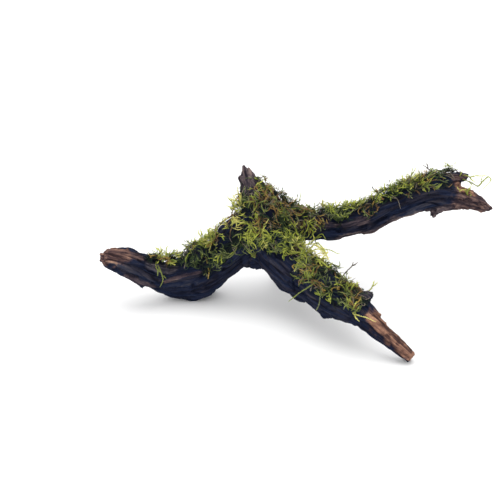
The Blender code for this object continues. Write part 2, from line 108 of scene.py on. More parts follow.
def turned(vectors: Array, axes: Array, angles: Array) -> Array:
    """Turn vectors about unit axes.

    Args:
        vectors: Vectors to turn, one a row.
        axes: Unit axes, one a row.
        angles: Angles in radians, one a row.

    Returns:
        The turned vectors.
    """
    c = np.cos(angles)[..., None]
    s = np.sin(angles)[..., None]
    return vectors * c + np.cross(axes, vectors) * s + axes * dots(axes, vectors) * (1.0 - c)


def through(rows: Array, count: int) -> Array:
    """Points on a smooth curve through rows of numbers.

    Args:
        rows: Rows that the curve runs through. The first and last only steer its ends.
        count: How many points.

    Returns:
        The points, one a row.
    """
    t = np.linspace(0.0, len(rows) - 3.001, count)
    k = t.astype(int)
    f = (t - k)[:, None]
    weights = (
        -0.5 * f**3 + f**2 - 0.5 * f,
        1.5 * f**3 - 2.5 * f**2 + 1.0,
        -1.5 * f**3 + 2.0 * f**2 + 0.5 * f,
        0.5 * f**3 - 0.5 * f**2,
    )
    return sum(weight * rows[k + i] for i, weight in enumerate(weights))


HASH_FACTORS = (73856093, 19349663, 83492791)
SEED_FACTOR = 2654435761
MIXING_FACTOR = 1274126177
LOW_BITS = 0xFFFFFFFF
TEN_BITS = 1023


def grain_noise(places: Array, seed: int) -> Array:
    """Smooth gradient noise, about -0.7 to 0.7, with features one unit apart.

    Args:
        places: Points, one a row.
        seed: Which pattern.

    Returns:
        One number a point.
    """
    cell = np.floor(places)
    part = places - cell
    cell = cell.astype(np.int64)
    ease = part**3 * (part * (part * 6.0 - 15.0) + 10.0)
    total = np.zeros(len(places))
    for corner in np.ndindex(2, 2, 2):
        mixed = np.bitwise_xor.reduce((cell + corner) * HASH_FACTORS, axis=1) ^ (seed * SEED_FACTOR)
        mixed = (mixed ^ (mixed >> 13)) * MIXING_FACTOR & LOW_BITS
        mixed ^= mixed >> 16
        slope = np.stack([(mixed >> shift & TEN_BITS) / (TEN_BITS / 2) - 1.0 for shift in (0, 10, 20)], 1)
        share = np.prod(np.where(corner, ease, 1.0 - ease), 1)
        total += share * ((part - corner) * slope).sum(1)
    return total


class Pattern(Enum):
    """A pattern of noise: the size of its features in millimetres, or one size for each axis, and its seed.

    The patterns with three sizes lie in a limb's grain, whose third axis runs along the limb.
    """

    WIDE_BENDS = ((10.0, 10.0, 24.0), 0)
    FINE_BENDS = ((4.0, 4.0, 8.0), 50)
    FLUTES = ((5.6, 5.6, 44.0), 100)
    FURROWS = ((2.6, 2.6, 24.0), 200)
    FIBRES = ((1.5, 1.5, 14.0), 300)
    CRACK_LINES = ((6.0, 6.0, 52.0), 400)
    CRACKED_PLACES = ((11.0, 11.0, 26.0), 500)
    BROAD_SPLITS = ((3.6, 3.6, 40.0), 91)
    FINE_SPLITS = ((2.4, 2.4, 11.0), 92)
    PITS = (6.5, 71)
    SPECKS = (1.4, 72)
    CARVED_EDGES = (2.2, 73)
    WORN_EDGES = (5.0, 81)
    FINE_WORN_EDGES = (2.0, 82)
    MOSS_CLUMPS = (9.0, 41)
    FLOW_X = (17.0, 43)
    FLOW_Y = (17.0, 44)
    FLOW_Z = (17.0, 45)
    TINT_PATCHES = (11.0, 51)
    TINT_FLECKS = (4.0, 52)
    BROWN_PATCHES = (8.0, 53)
    MOSS_EDGES = (3.5, 61)

    def at(self, places: Array, limb_seed: int = 0) -> Array:
        """The pattern's value at each place, from about -0.7 to 0.7, in one limb's own version of it."""
        size, seed = self.value
        return grain_noise(places / size, seed + limb_seed)


@dataclass(frozen=True)
class Strip:
    """A strip of the surface around a line.

    Attributes:
        line: Points along the strip's middle.
        radius: How far it reaches to the sides.
    """

    line: tuple[Point, ...]
    radius: float

    def away(self, places: Array) -> Array:
        """Distance of each place from the strip's middle, as a share of its radius."""
        rows = np.array(self.line)
        gaps = []
        for start, end in zip(rows[:-1], rows[1:]):
            ahead = end - start
            t = np.clip(((places - start) @ ahead) / (ahead @ ahead), 0.0, 1.0)
            gaps.append(np.linalg.norm(places - start - t[:, None] * ahead, axis=1))
        return np.min(gaps, axis=0) / self.radius


# Mesh helpers


def new_object(name: str, data: bpy.types.ID) -> bpy.types.Object:
    """Put a new object with this mesh, camera or light in the scene."""
    made = bpy.data.objects.new(name, data)
    bpy.context.scene.collection.objects.link(made)
    return made


def select_only(*objects: bpy.types.Object) -> None:
    """Select these objects and nothing else, with the first one active."""
    bpy.ops.object.select_all(action="DESELECT")
    for obj in objects:
        obj.select_set(True)
    bpy.context.view_layer.objects.active = objects[0]


def apply_modifier(obj: bpy.types.Object, kind: str, **settings: object) -> None:
    """Add a modifier and apply it.

    Args:
        obj: Object to change.
        kind: Type of the modifier.
        settings: Its settings.
    """
    select_only(obj)
    modifier = obj.modifiers.new(kind.lower(), kind)
    for name, value in settings.items():
        setattr(modifier, name, value)
    bpy.ops.object.modifier_apply(modifier=modifier.name)


def make_skin(obj: bpy.types.Object, swell: float, voxel: float, softening: int) -> None:
    """Turn overlapping and near solids into one closed skin.

    Args:
        obj: The solids, joined in one object.
        swell: How far they grow so that the gaps between them close, before the skin shrinks back.
        voxel: Size of the skin's faces.
        softening: How often the solids' facets are smoothed.
    """
    apply_modifier(obj, "DISPLACE", strength=swell * MM, mid_level=0.0)
    apply_modifier(obj, "REMESH", mode="VOXEL", voxel_size=voxel * MM)
    apply_modifier(obj, "DISPLACE", strength=-swell * MM, mid_level=0.0)
    apply_modifier(obj, "SMOOTH", iterations=softening, factor=0.5)


def merged_copy(name: str, nodes: list[bpy.types.Object]) -> bpy.types.Object:
    """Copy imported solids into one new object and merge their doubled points.

    Args:
        name: Name of the new object.
        nodes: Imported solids.

    Returns:
        The new object, with no material.
    """
    copies = [new_object(name, node.data.copy()) for node in nodes]
    select_only(*copies)
    if len(copies) > 1:
        bpy.ops.object.join()
    whole = bpy.context.view_layer.objects.active
    bpy.ops.object.mode_set(mode="EDIT")
    bpy.ops.mesh.select_all(action="SELECT")
    bpy.ops.mesh.remove_doubles(threshold=DOUBLED_POINTS)
    bpy.ops.object.mode_set(mode="OBJECT")
    whole.name = name
    whole.data.name = name
    whole.data.materials.clear()
    return whole


def vectors_of(items: bpy.types.bpy_prop_collection, name: str) -> Array:
    """One vector of each of a mesh's points or faces, one a row."""
    found = np.empty(len(items) * 3)
    items.foreach_get(name, found)
    return found.reshape(-1, 3)


def points_of(obj: bpy.types.Object) -> Array:
    """The object's points in millimetres, one a row."""
    return vectors_of(obj.data.vertices, "co") / MM


def centres_of(obj: bpy.types.Object) -> Array:
    """The centres of the object's faces in millimetres, one a row."""
    return vectors_of(obj.data.polygons, "center") / MM


def normals_of(obj: bpy.types.Object) -> Array:
    """The normals at the object's points, one a row."""
    return vectors_of(obj.data.vertex_normals, "vector")


def edit_faces(obj: bpy.types.Object, chosen: Array) -> None:
    """Open the object for editing with only these faces selected.

    Args:
        obj: Object to edit.
        chosen: True for each face that is wanted.
    """
    select_only(obj)
    mesh = obj.data
    mesh.vertices.foreach_set("select", np.zeros(len(mesh.vertices), bool))
    mesh.edges.foreach_set("select", np.zeros(len(mesh.edges), bool))
    mesh.polygons.foreach_set("select", chosen)
    bpy.context.tool_settings.mesh_select_mode = (False, False, True)
    bpy.ops.object.mode_set(mode="EDIT")


def move_points(obj: bpy.types.Object, places: Array) -> None:
    """Put the object's points at these places, in millimetres."""
    obj.data.vertices.foreach_set("co", (places * MM).ravel())
    obj.data.update()


def paint_points(obj: bpy.types.Object, name: str, values: Array) -> None:
    """Store a number or a vector at each point of the object, under a name."""
    kind, field = ("FLOAT", "value") if values.ndim == 1 else ("FLOAT_VECTOR", "vector")
    stored = obj.data.attributes.new(name, kind, "POINT")
    stored.data.foreach_set(field, values.astype(np.float32).ravel())


def triangle_object(name: str, places: Array, triangles: Array, uv: Array) -> bpy.types.Object:
    """Make a mesh object of triangles.

    Args:
        name: Name of the object.
        places: Points in millimetres, one a row.
        triangles: Three point numbers a row.
        uv: Place of each point on the piece's own map.

    Returns:
        The new object.
    """
    mesh = bpy.data.meshes.new(name)
    corners = triangles.ravel().astype(np.int32)
    mesh.vertices.add(len(places))
    mesh.vertices.foreach_set("co", (places * MM).astype(np.float32).ravel())
    mesh.loops.add(len(corners))
    mesh.loops.foreach_set("vertex_index", corners)
    mesh.polygons.add(len(triangles))
    mesh.polygons.foreach_set("loop_start", np.arange(0, len(corners), 3, dtype=np.int32))
    mesh.polygons.foreach_set("loop_total", np.full(len(triangles), 3, dtype=np.int32))
    mesh.update(calc_edges=True)
    layer = mesh.uv_layers.new(name=BAKE_MAP)
    layer.uv.foreach_set("vector", uv[corners].astype(np.float32).ravel())
    mesh.shade_smooth()
    return new_object(name, mesh)


# Shader helpers


class Sock:
    """A shader socket that can be used in arithmetic."""

    def __init__(self, graph: "Graph", link: bpy.types.NodeSocket) -> None:
        """Keep the socket and the graph it is in."""
        self.graph = graph
        self.link = link

    def __add__(self, other: "Sock | float") -> "Sock":
        """Sum."""
        return self.graph.maths("ADD", self, other)

    def __sub__(self, other: "Sock | float") -> "Sock":
        """Difference."""
        return self.graph.maths("SUBTRACT", self, other)

    def __rsub__(self, other: float) -> "Sock":
        """Difference from a number."""
        return self.graph.maths("SUBTRACT", other, self)

    def __mul__(self, other: "Sock | float") -> "Sock":
        """Product."""
        return self.graph.maths("MULTIPLY", self, other)

    __radd__ = __add__
    __rmul__ = __mul__

    def held(self) -> "Sock":
        """The value kept from 0 to 1."""
        return self.graph.maths("MULTIPLY", self, 1.0, clamp=True)

    def eased(self, low: float, high: float) -> "Sock":
        """The value eased from 0 at low to 1 at high."""
        settings = {"interpolation_type": "SMOOTHSTEP"}
        sockets = {"Value": self, "From Min": low, "From Max": high}
        return self.graph.node("ShaderNodeMapRange", settings, sockets, "Result")


class Graph:
    """The nodes of one material, around a Principled shader."""

    def __init__(self, name: str, roughness: float, specular: float) -> None:
        """Start a material with one Principled shader.

        Args:
            name: Name of the material.
            roughness: Its plain roughness.
            specular: Its specular level, alike all over.
        """
        self.material = bpy.data.materials.new(name)
        self.material.use_nodes = True
        self.tree = self.material.node_tree
        self.shader = self.tree.nodes["Principled BSDF"]
        self.shader.inputs["Roughness"].default_value = roughness
        self.shader.inputs["Specular IOR Level"].default_value = specular

    def node(self, kind: str, settings: dict, sockets: dict, output: str | int = 0) -> Sock:
        """Add any node.

        Args:
            kind: Type of the node.
            settings: Its settings. "stops" are a ramp's places and colours.
            sockets: Values or links of its sockets, by name or number.
            output: Which output is wanted.

        Returns:
            The wanted output.
        """
        made = self.tree.nodes.new(kind)
        for name, value in settings.items():
            if name == "stops":
                self._set_stops(made.color_ramp, value)
            else:
                setattr(made, name, value)
        for name, value in sockets.items():
            if isinstance(value, Sock):
                self.tree.links.new(value.link, made.inputs[name])
            else:
                made.inputs[name].default_value = value
        return Sock(self, made.outputs[output])

    def _set_stops(self, ramp: bpy.types.ColorRamp, stops: list[tuple[float, Colour]]) -> None:
        """Give a ramp its places and colours."""
        while len(ramp.elements) < len(stops):
            ramp.elements.new(1.0)
        for element, (place, colour) in zip(ramp.elements, stops):
            element.position = place
            element.color = (*colour, 1.0)

    def maths(self, operation: str, a: "Sock | float", b: "Sock | float", clamp: bool = False) -> Sock:
        """Add a Math node for two values."""
        return self.node("ShaderNodeMath", {"operation": operation, "use_clamp": clamp}, {0: a, 1: b})

    def mix(self, factor: Sock, a: "Sock | Colour", b: "Sock | Colour") -> Sock:
        """Mix two colours.

        Args:
            factor: Share of the second colour.
            a: First colour.
            b: Second colour.

        Returns:
            The mixed colour.
        """
        a, b = (x if isinstance(x, Sock) else (*x, 1.0) for x in (a, b))
        settings = {"data_type": "RGBA", "blend_type": "MIX", "clamp_factor": True}
        return self.node("ShaderNodeMix", settings, {0: factor, 6: a, 7: b}, 2)

    def streaks(self, grain: Sock, kind: "Streaks") -> Sock:
        """Noise from 0 to 1 that is drawn out along the grain.

        Args:
            grain: Place in the grain, whose third axis runs along the limb.
            kind: The kind of streaks.

        Returns:
            The noise.
        """
        scales = (1.0, 1.0, kind.drawn)
        drawn = self.node("ShaderNodeVectorMath", {"operation": "MULTIPLY"}, {0: grain, 1: scales})
        sockets = {"Vector": drawn, "Scale": kind.scale, "Detail": kind.detail, "Roughness": kind.roughness}
        return self.node("ShaderNodeTexNoise", {}, sockets, "Fac")

    def painted(self, name: str, output: str = "Fac") -> Sock:
        """What is stored at the piece's points under this name."""
        return self.node("ShaderNodeAttribute", {"attribute_name": name}, {}, output)

    def wear(self, socket: str, value: Sock) -> None:
        """Feed a value to one of the shader's sockets."""
        self.tree.links.new(value.link, self.shader.inputs[socket])

    def bump(self, height: Sock, depth: float) -> None:
        """Feed a height, whose full range is so many millimetres, to the shader's normal."""
        sockets = {"Height": height, "Strength": 1.0, "Distance": depth * MM}
        self.wear("Normal", self.node("ShaderNodeBump", {}, sockets, "Normal"))


# Wood


LIMB_SAMPLES = 180
POINTS_AT_ONCE = 20000
LEAST_WEIGHT = 0.01


@dataclass(frozen=True)
class Limb:
    """The centre line of one limb, which its grain follows.

    Attributes:
        line: Points x, y, z with the mean radius there.
        facing: Direction that the limb's upper side faces.
        seed: Which pattern its grain has.
    """

    line: tuple[tuple[float, float, float, float], ...]
    facing: Point
    seed: int

    def sampled(self) -> tuple[Array, Array, Array, Array, Array]:
        """Points evenly spaced in the parameter of a smooth curve through the line.

        Returns:
            Points, unit directions, unit sideways directions, run lengths and radii.
        """
        rows = np.array(self.line)
        smooth = through(np.vstack([rows[:1], rows, rows[-1:]]), LIMB_SAMPLES)
        points = smooth[:, :3]
        ahead = unit(np.gradient(points, axis=0))
        side = unit(np.cross(ahead, np.array(self.facing)))
        steps = np.linalg.norm(np.diff(points, axis=0), axis=1)
        return points, ahead, side, np.concatenate([[0.0], np.cumsum(steps)]), smooth[:, 3]

    def grain_places(self, places: Array) -> tuple[Array, Array]:
        """Where points lie in the limb's own grain.

        Args:
            places: Points in millimetres.

        Returns:
            Sideways, upward and lengthwise places in millimetres, and the distance from the line over the
            radius.
        """
        points, ahead, side, run, radius = self.sampled()
        nearest = np.empty(len(places), int)
        for first in range(0, len(places), POINTS_AT_ONCE):
            block = slice(first, first + POINTS_AT_ONCE)
            gaps = ((places[block, None, :] - points[None, :, :]) ** 2).sum(2)
            nearest[block] = gaps.argmin(1)
        off = places - points[nearest]
        along = dots(off, ahead[nearest])[:, 0]
        up = np.cross(side[nearest], ahead[nearest])
        across = dots(off, side[nearest])[:, 0]
        tall = dots(off, up)[:, 0]
        beyond = np.where((nearest == 0) | (nearest == len(points) - 1), along, 0.0)
        share = np.sqrt(across**2 + tall**2 + beyond**2) / radius[nearest]
        return np.stack([across, tall, run[nearest] + along], 1), share


LIMBS = (
    Limb(
        line=(
            (-143.9, 12.4, 37.0, 3.6), (-140.4, 12.4, 36.5, 7.2), (-132.4, 12.4, 35.0, 8.6),
            (-122.9, 12.4, 31.0, 10.1), (-112.4, 13.4, 24.0, 11.5), (-102.9, 14.4, 18.5, 12.5),
            (-92.9, 16.4, 17.5, 14.5), (-81.4, 18.4, 19.0, 16.0), (-70.4, 20.4, 22.0, 17.0),
            (-58.9, 22.4, 29.0, 17.0), (-49.4, 24.4, 38.0, 17.0), (-37.9, 25.4, 48.0, 17.0),
            (-24.9, 26.4, 55.0, 16.6),
        ),
        facing=(0.0, 0.0, 1.0),
        seed=3,
    ),
    Limb(
        line=(
            (-24.9, 26.4, 55.5, 16.0), (-28.4, 30.4, 65.5, 15.0), (-32.9, 34.9, 73.0, 12.0),
            (-35.9, 40.4, 79.0, 8.4), (-38.4, 44.4, 82.5, 6.3), (-39.9, 46.4, 85.5, 4.8),
            (-41.9, 49.2, 92.8, 2.0),
        ),
        facing=(0.0, -1.0, 0.25),
        seed=5,
    ),
    Limb(
        line=(
            (-24.9, 26.4, 57.0, 16.0), (-7.4, 29.4, 54.0, 12.4), (9.1, 32.4, 51.8, 10.0),
            (24.1, 36.4, 50.3, 10.2), (35.1, 38.9, 51.5, 10.3), (47.1, 41.4, 54.0, 10.4),
            (58.6, 44.4, 58.0, 10.2), (72.1, 48.4, 62.5, 10.5), (87.1, 52.4, 67.0, 12.0),
            (98.1, 55.9, 67.5, 12.0), (108.1, 58.4, 66.0, 11.5), (115.1, 60.4, 64.0, 11.0),
            (121.1, 61.4, 61.5, 9.0), (127.1, 62.4, 58.5, 7.3), (133.6, 62.9, 55.2, 5.7),
            (140.1, 63.9, 51.8, 3.6), (144.4, 64.4, 50.8, 1.5),
        ),
        facing=(0.0, 0.0, 1.0),
        seed=7,
    ),
    Limb(
        line=(
            (-26.4, 26.4, 56.5, 16.5), (-20.9, 17.4, 45.0, 16.8), (-12.9, 8.4, 37.0, 16.2),
            (-2.9, -2.1, 31.8, 15.0), (9.1, -15.6, 29.6, 13.6), (20.1, -28.6, 27.8, 12.2),
            (29.6, -38.6, 27.0, 11.0), (37.6, -45.6, 24.6, 9.0), (43.1, -51.1, 21.6, 7.2),
            (48.1, -54.6, 18.6, 6.3), (53.1, -58.1, 15.2, 5.7), (59.1, -62.1, 11.0, 5.3),
            (66.1, -65.6, 5.9, 4.9), (71.1, -68.1, 3.0, 4.1),
        ),
        facing=(0.0, 0.0, 1.0),
        seed=11,
    ),
    Limb(
        line=(
            (-19.9, 32.4, 54.0, 13.0), (-13.9, 40.4, 38.0, 10.5), (-9.4, 47.4, 20.0, 8.3),
            (-7.9, 50.4, 7.0, 7.8), (-7.9, 50.9, -1.5, 6.5),
        ),
        facing=(0.0, -1.0, 0.0),
        seed=13,
    ),
)


@dataclass(frozen=True, kw_only=True)
class WornPlace(Strip):
    """A place where the dark outside is gone and the wood shows.

    Attributes:
        facing: Direction that the worn side faces, or None for every side.
        bare: How bare the wood is, from 0 to 1.
        rust: 1 for warm red-brown wood, 0 for grey-brown.
    """

    facing: Point | None = None
    bare: float
    rust: float


WORN = (
    WornPlace(
        ((-145.0, 9.0, 38.5), (-130.0, 9.0, 43.0)), 7.6, facing=(-0.45, -0.35, 1.0), bare=0.62, rust=0.9,
    ),
    WornPlace(((-131.0, 10.0, 43.5), (-113.0, 10.0, 40.0)), 3.2, facing=(0.0, -0.1, 1.0), bare=0.4, rust=0.7),
    WornPlace(((-108.0, 8.4, 34.0), (-94.0, 8.4, 30.5)), 4.4, facing=(0.0, -0.5, 1.0), bare=0.62, rust=0.0),
    WornPlace(((-126.5, 4.0, 25.5), (-108.0, 5.5, 16.5)), 2.6, facing=(0.0, -0.8, 0.3), bare=0.28, rust=0.4),
    WornPlace(((-98.9, 4.1, 21.3), (-84.5, 6.6, 25.7)), 1.5, facing=(0.0, -1.0, 0.4), bare=0.32, rust=0.5),
    WornPlace(((-84.5, 6.6, 25.7), (-72.0, 7.8, 26.8)), 1.5, facing=(0.0, -1.0, 0.4), bare=0.28, rust=0.5),
    WornPlace(((50.6, -56.4, 25.8), (74.2, -68.0, 7.6)), 9.3, facing=(0.44, -0.54, 0.74), bare=1.0, rust=1.0),
    WornPlace(((117.0, 58.0, 62.5), (146.0, 64.0, 50.0)), 12.0, bare=0.47, rust=0.75),
    WornPlace(((117.5, 58.5, 71.5), (128.0, 61.0, 67.5)), 5.0, facing=(0.2, -0.2, 1.0), bare=1.0, rust=1.0),
    WornPlace(((30.0, 31.0, 44.0), (104.0, 50.0, 57.0)), 6.4, facing=(0.1, -0.6, -0.8), bare=0.62, rust=0.25),
    WornPlace(((12.0, 21.5, 57.0), (46.0, 29.5, 58.0)), 4.0, facing=(0.0, -1.0, 0.2), bare=0.4, rust=0.35),
    WornPlace(((113.0, 60.5, 79.0), (122.0, 63.0, 77.5)), 3.0, facing=(0.0, 0.0, 1.0), bare=0.55, rust=0.6),
    WornPlace(((-36.0, 42.0, 80.0), (-43.0, 48.0, 94.0)), 13.0, bare=0.55, rust=0.25),
    WornPlace(((30.0, -34.0, 37.0), (47.0, -38.5, 37.5)), 5.0, facing=(0.2, -0.1, 1.0), bare=0.5, rust=0.05),
    WornPlace(((-8.0, 51.0, 0.0), (-8.0, 51.0, 8.0)), 10.0, bare=0.3, rust=0.3),
)


@dataclass(frozen=True)
class Carving(Strip):
    """A crack or hollow that is cut into the wood.

    Attributes:
        depth: How deep it is.
    """

    depth: float = 1.0


CARVINGS = (
    Carving(((-8.7, -13.1, 41.0), (-8.7, -17.4, 35.4), (-7.9, -18.4, 30.4), (-7.8, -18.8, 25.0)), 1.3, 1.3),
    Carving(((107.4, 47.2, 67.7), (114.3, 49.6, 66.0), (122.4, 52.8, 62.9), (130.6, 55.2, 58.6)), 1.2, 1.3),
    Carving(((113.1, 48.8, 62.9), (121.6, 53.8, 58.4), (132.6, 56.0, 54.8)), 1.0, 1.0),
    Carving(((121.6, 56.8, 67.2), (122.8, 57.2, 66.8)), 2.0, 1.6),
    Carving(((42.2, -58.8, 23.9), (43.6, -59.5, 22.4)), 1.7, 2.0),
    Carving(((45.4, -52.5, 28.0), (52.5, -56.0, 22.5), (60.0, -61.0, 17.0)), 0.9, 1.0),
    Carving(((49.5, -59.5, 21.0), (58.0, -65.0, 14.5), (66.0, -69.0, 8.5)), 0.9, 1.0),
    Carving(((-42.5, 46.8, 91.0), (-40.8, 43.0, 87.3), (-39.5, 39.5, 84.5)), 0.9, 1.1),
    Carving(((-118.0, 8.0, 37.6), (-107.0, 7.0, 32.4), (-97.0, 6.0, 27.0)), 0.9, 0.9),
    Carving(((-131.0, 4.0, 33.0), (-118.0, 4.2, 26.5), (-104.0, 4.0, 23.5)), 0.9, 0.8),
    Carving(((-119.5, 14.5, 41.0), (-106.0, 15.5, 35.5)), 4.6, 1.3),
    Carving(((58.0, -55.0, 22.5), (64.0, -59.0, 17.5), (69.0, -62.0, 13.0), (71.5, -64.0, 10.0)), 4.5, 1.6),
)


@dataclass(frozen=True)
class Splinter:
    """A broken edge that stands out from a limb and tapers to its tip.

    Attributes:
        root: Its start, inside the limb.
        tip: Its end.
        width: Its width at the root.
        thickness: Its thickness at the root.
        facing: Direction of its thickness.
        end: Its size at the tip over that at the root.
    """

    root: Point
    tip: Point
    width: float
    thickness: float
    facing: Point
    end: float = 0.3

    def add(self) -> bpy.types.Object:
        """Add it as a tapered six-sided bar."""
        root, tip = Vector(self.root) * MM, Vector(self.tip) * MM
        ahead = (tip - root).normalized()
        out = Vector(self.facing)
        out = (out - ahead * out.dot(ahead)).normalized()
        bpy.ops.object.select_all(action="DESELECT")
        bpy.ops.mesh.primitive_cone_add(
            vertices=6,
            radius1=0.5 * self.width * MM,
            radius2=0.5 * self.width * self.end * MM,
            depth=(tip - root).length,
            location=(root + tip) / 2,
            rotation=Matrix((out.cross(ahead), out, ahead)).transposed().to_euler(),
            scale=(1.0, self.thickness / self.width, 1.0),
        )
        return bpy.context.active_object


SPLINTERS = (
    Splinter((-39.5, 43.5, 80.0), (-42.8, 47.4, 94.2), 8.6, 5.0, (-0.2, -0.8, 0.4), 0.36),
    Splinter((-31.5, 41.0, 80.5), (-39.8, 46.5, 92.0), 7.0, 5.0, (0.0, -0.8, 0.5), 0.5),
    Splinter((-39.5, 43.0, 77.5), (-46.8, 45.2, 86.0), 7.5, 5.5, (-0.3, -0.8, 0.4), 0.4),
    Splinter((-44.2, 45.6, 86.0), (-44.4, 47.0, 89.8), 2.2, 2.0, (0.0, -1.0, 0.0), 0.5),
    Splinter((31.0, -37.0, 33.5), (46.2, -39.6, 36.6), 13.0, 4.0, (0.15, -0.35, 0.9), 0.55),
    Splinter((-134.0, 11.5, 37.6), (-145.3, 12.0, 37.0), 13.0, 13.0, (0.0, -1.0, 0.0), 0.6),
    Splinter((41.0, -45.2, 31.0), (50.6, -51.6, 27.0), 5.0, 3.6, (0.4, 0.1, 0.9), 0.7),
    Splinter((44.2, -49.4, 27.0), (53.7, -55.0, 22.9), 5.0, 3.4, (0.4, 0.1, 0.9), 0.7),
    Splinter((48.6, -54.0, 22.7), (60.8, -61.0, 16.5), 4.6, 3.0, (0.4, 0.1, 0.9), 0.8),
    Splinter((56.1, -60.0, 16.8), (62.8, -63.2, 14.4), 2.6, 2.6, (0.4, 0.1, 0.9), 0.9),
    Splinter((-13.7, -3.0, 24.0), (-3.9, -11.4, 17.2), 9.0, 7.0, (0.0, -0.5, -0.9), 0.8),
    Splinter((4.8, -18.0, 20.5), (-4.3, -11.2, 17.0), 9.0, 7.0, (0.0, -0.5, -0.9), 0.8),
    Splinter((4.9, -19.0, 20.0), (15.0, -31.0, 14.0), 9.0, 7.0, (0.0, -0.5, -0.9), 0.8),
    Splinter((24.5, -39.0, 21.0), (14.2, -30.4, 14.0), 9.0, 7.0, (0.0, -0.5, -0.9), 0.8),
    Splinter((114.5, 57.0, 69.8), (127.9, 61.0, 66.4), 7.0, 4.0, (0.3, -0.2, 1.0), 0.5),
    Splinter((-127.0, 13.5, 40.0), (-125.2, 14.0, 44.6), 4.4, 3.6, (0.0, -1.0, 0.0), 0.5),
    Splinter((-132.0, 8.5, 28.0), (-114.6, 7.8, 14.8), 5.4, 3.4, (0.3, -0.6, -0.75), 0.9),
    Splinter((125.0, 57.0, 57.5), (134.6, 57.6, 50.8), 4.6, 3.4, (0.1, -1.0, -0.2), 0.35),
    Splinter((98.2, 51.0, 59.0), (96.9, 49.6, 51.4), 8.4, 5.4, (0.0, -1.0, 0.0), 0.75),
    Splinter((97.6, 50.6, 54.0), (97.2, 49.4, 49.4), 5.0, 4.0, (0.0, -1.0, 0.0), 0.3),
    Splinter((47.7, 32.0, 50.1), (23.7, 28.5, 47.5), 9.0, 5.0, (0.0, -0.5, -0.9), 0.85),
    Splinter((98.5, 47.0, 57.7), (113.1, 51.0, 57.2), 6.0, 3.6, (0.1, -0.5, -0.85), 0.8),
)


EVERYWHERE = (-500.0, 500.0)


@dataclass(frozen=True)
class Part:
    """One piece of the wood, parted from the rest where its solid is sawn.

    Attributes:
        name: Name of the piece.
        nodes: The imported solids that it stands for.
        centre: A point of the parting face.
        outward: Direction from the rest to the piece.
        between: Least and most y of the piece.
        reach: Distance from the centre within which the skin is cut.
    """

    name: str
    nodes: tuple[str, ...]
    centre: Point = (0.0, 0.0, 0.0)
    outward: Point = (0.0, 0.0, 0.0)
    between: Range = EVERYWHERE
    reach: float = 26.0

    def holds(self, places: Array) -> Array:
        """True for each place that is in this piece."""
        least, most = self.between
        beyond = (places - np.array(self.centre)) @ np.array(self.outward) > 0.0
        return beyond & (places[:, 1] > least) & (places[:, 1] < most)


TRUNK = Part("crown_wood", ("driftwood_crown", "back_stub", "heel_root"))
BRANCHES = (
    Part("club_wood", ("club_limb",), (-53.25, 23.72, 36.9), (-0.759, -0.171, -0.629)),
    Part("arm_wood", ("long_arm",), (24.61, 36.58, 50.3), (0.97, 0.243, -0.001), (10.0, EVERYWHERE[1])),
    Part("leg_wood", ("front_leg",), (-10.97, 6.4, 35.67), (0.632, -0.661, -0.405), (EVERYWHERE[0], 20.0)),
)


@dataclass(frozen=True)
class Streaks:
    """A kind of noise in the wood's colour that is drawn out along the grain.

    Attributes:
        drawn: Its frequency along the grain over that across it.
        scale: Its frequency across the grain, in features a millimetre.
        detail: How many finer layers it has.
        roughness: How strong the finer layers are.
    """

    drawn: float
    scale: float
    detail: float
    roughness: float


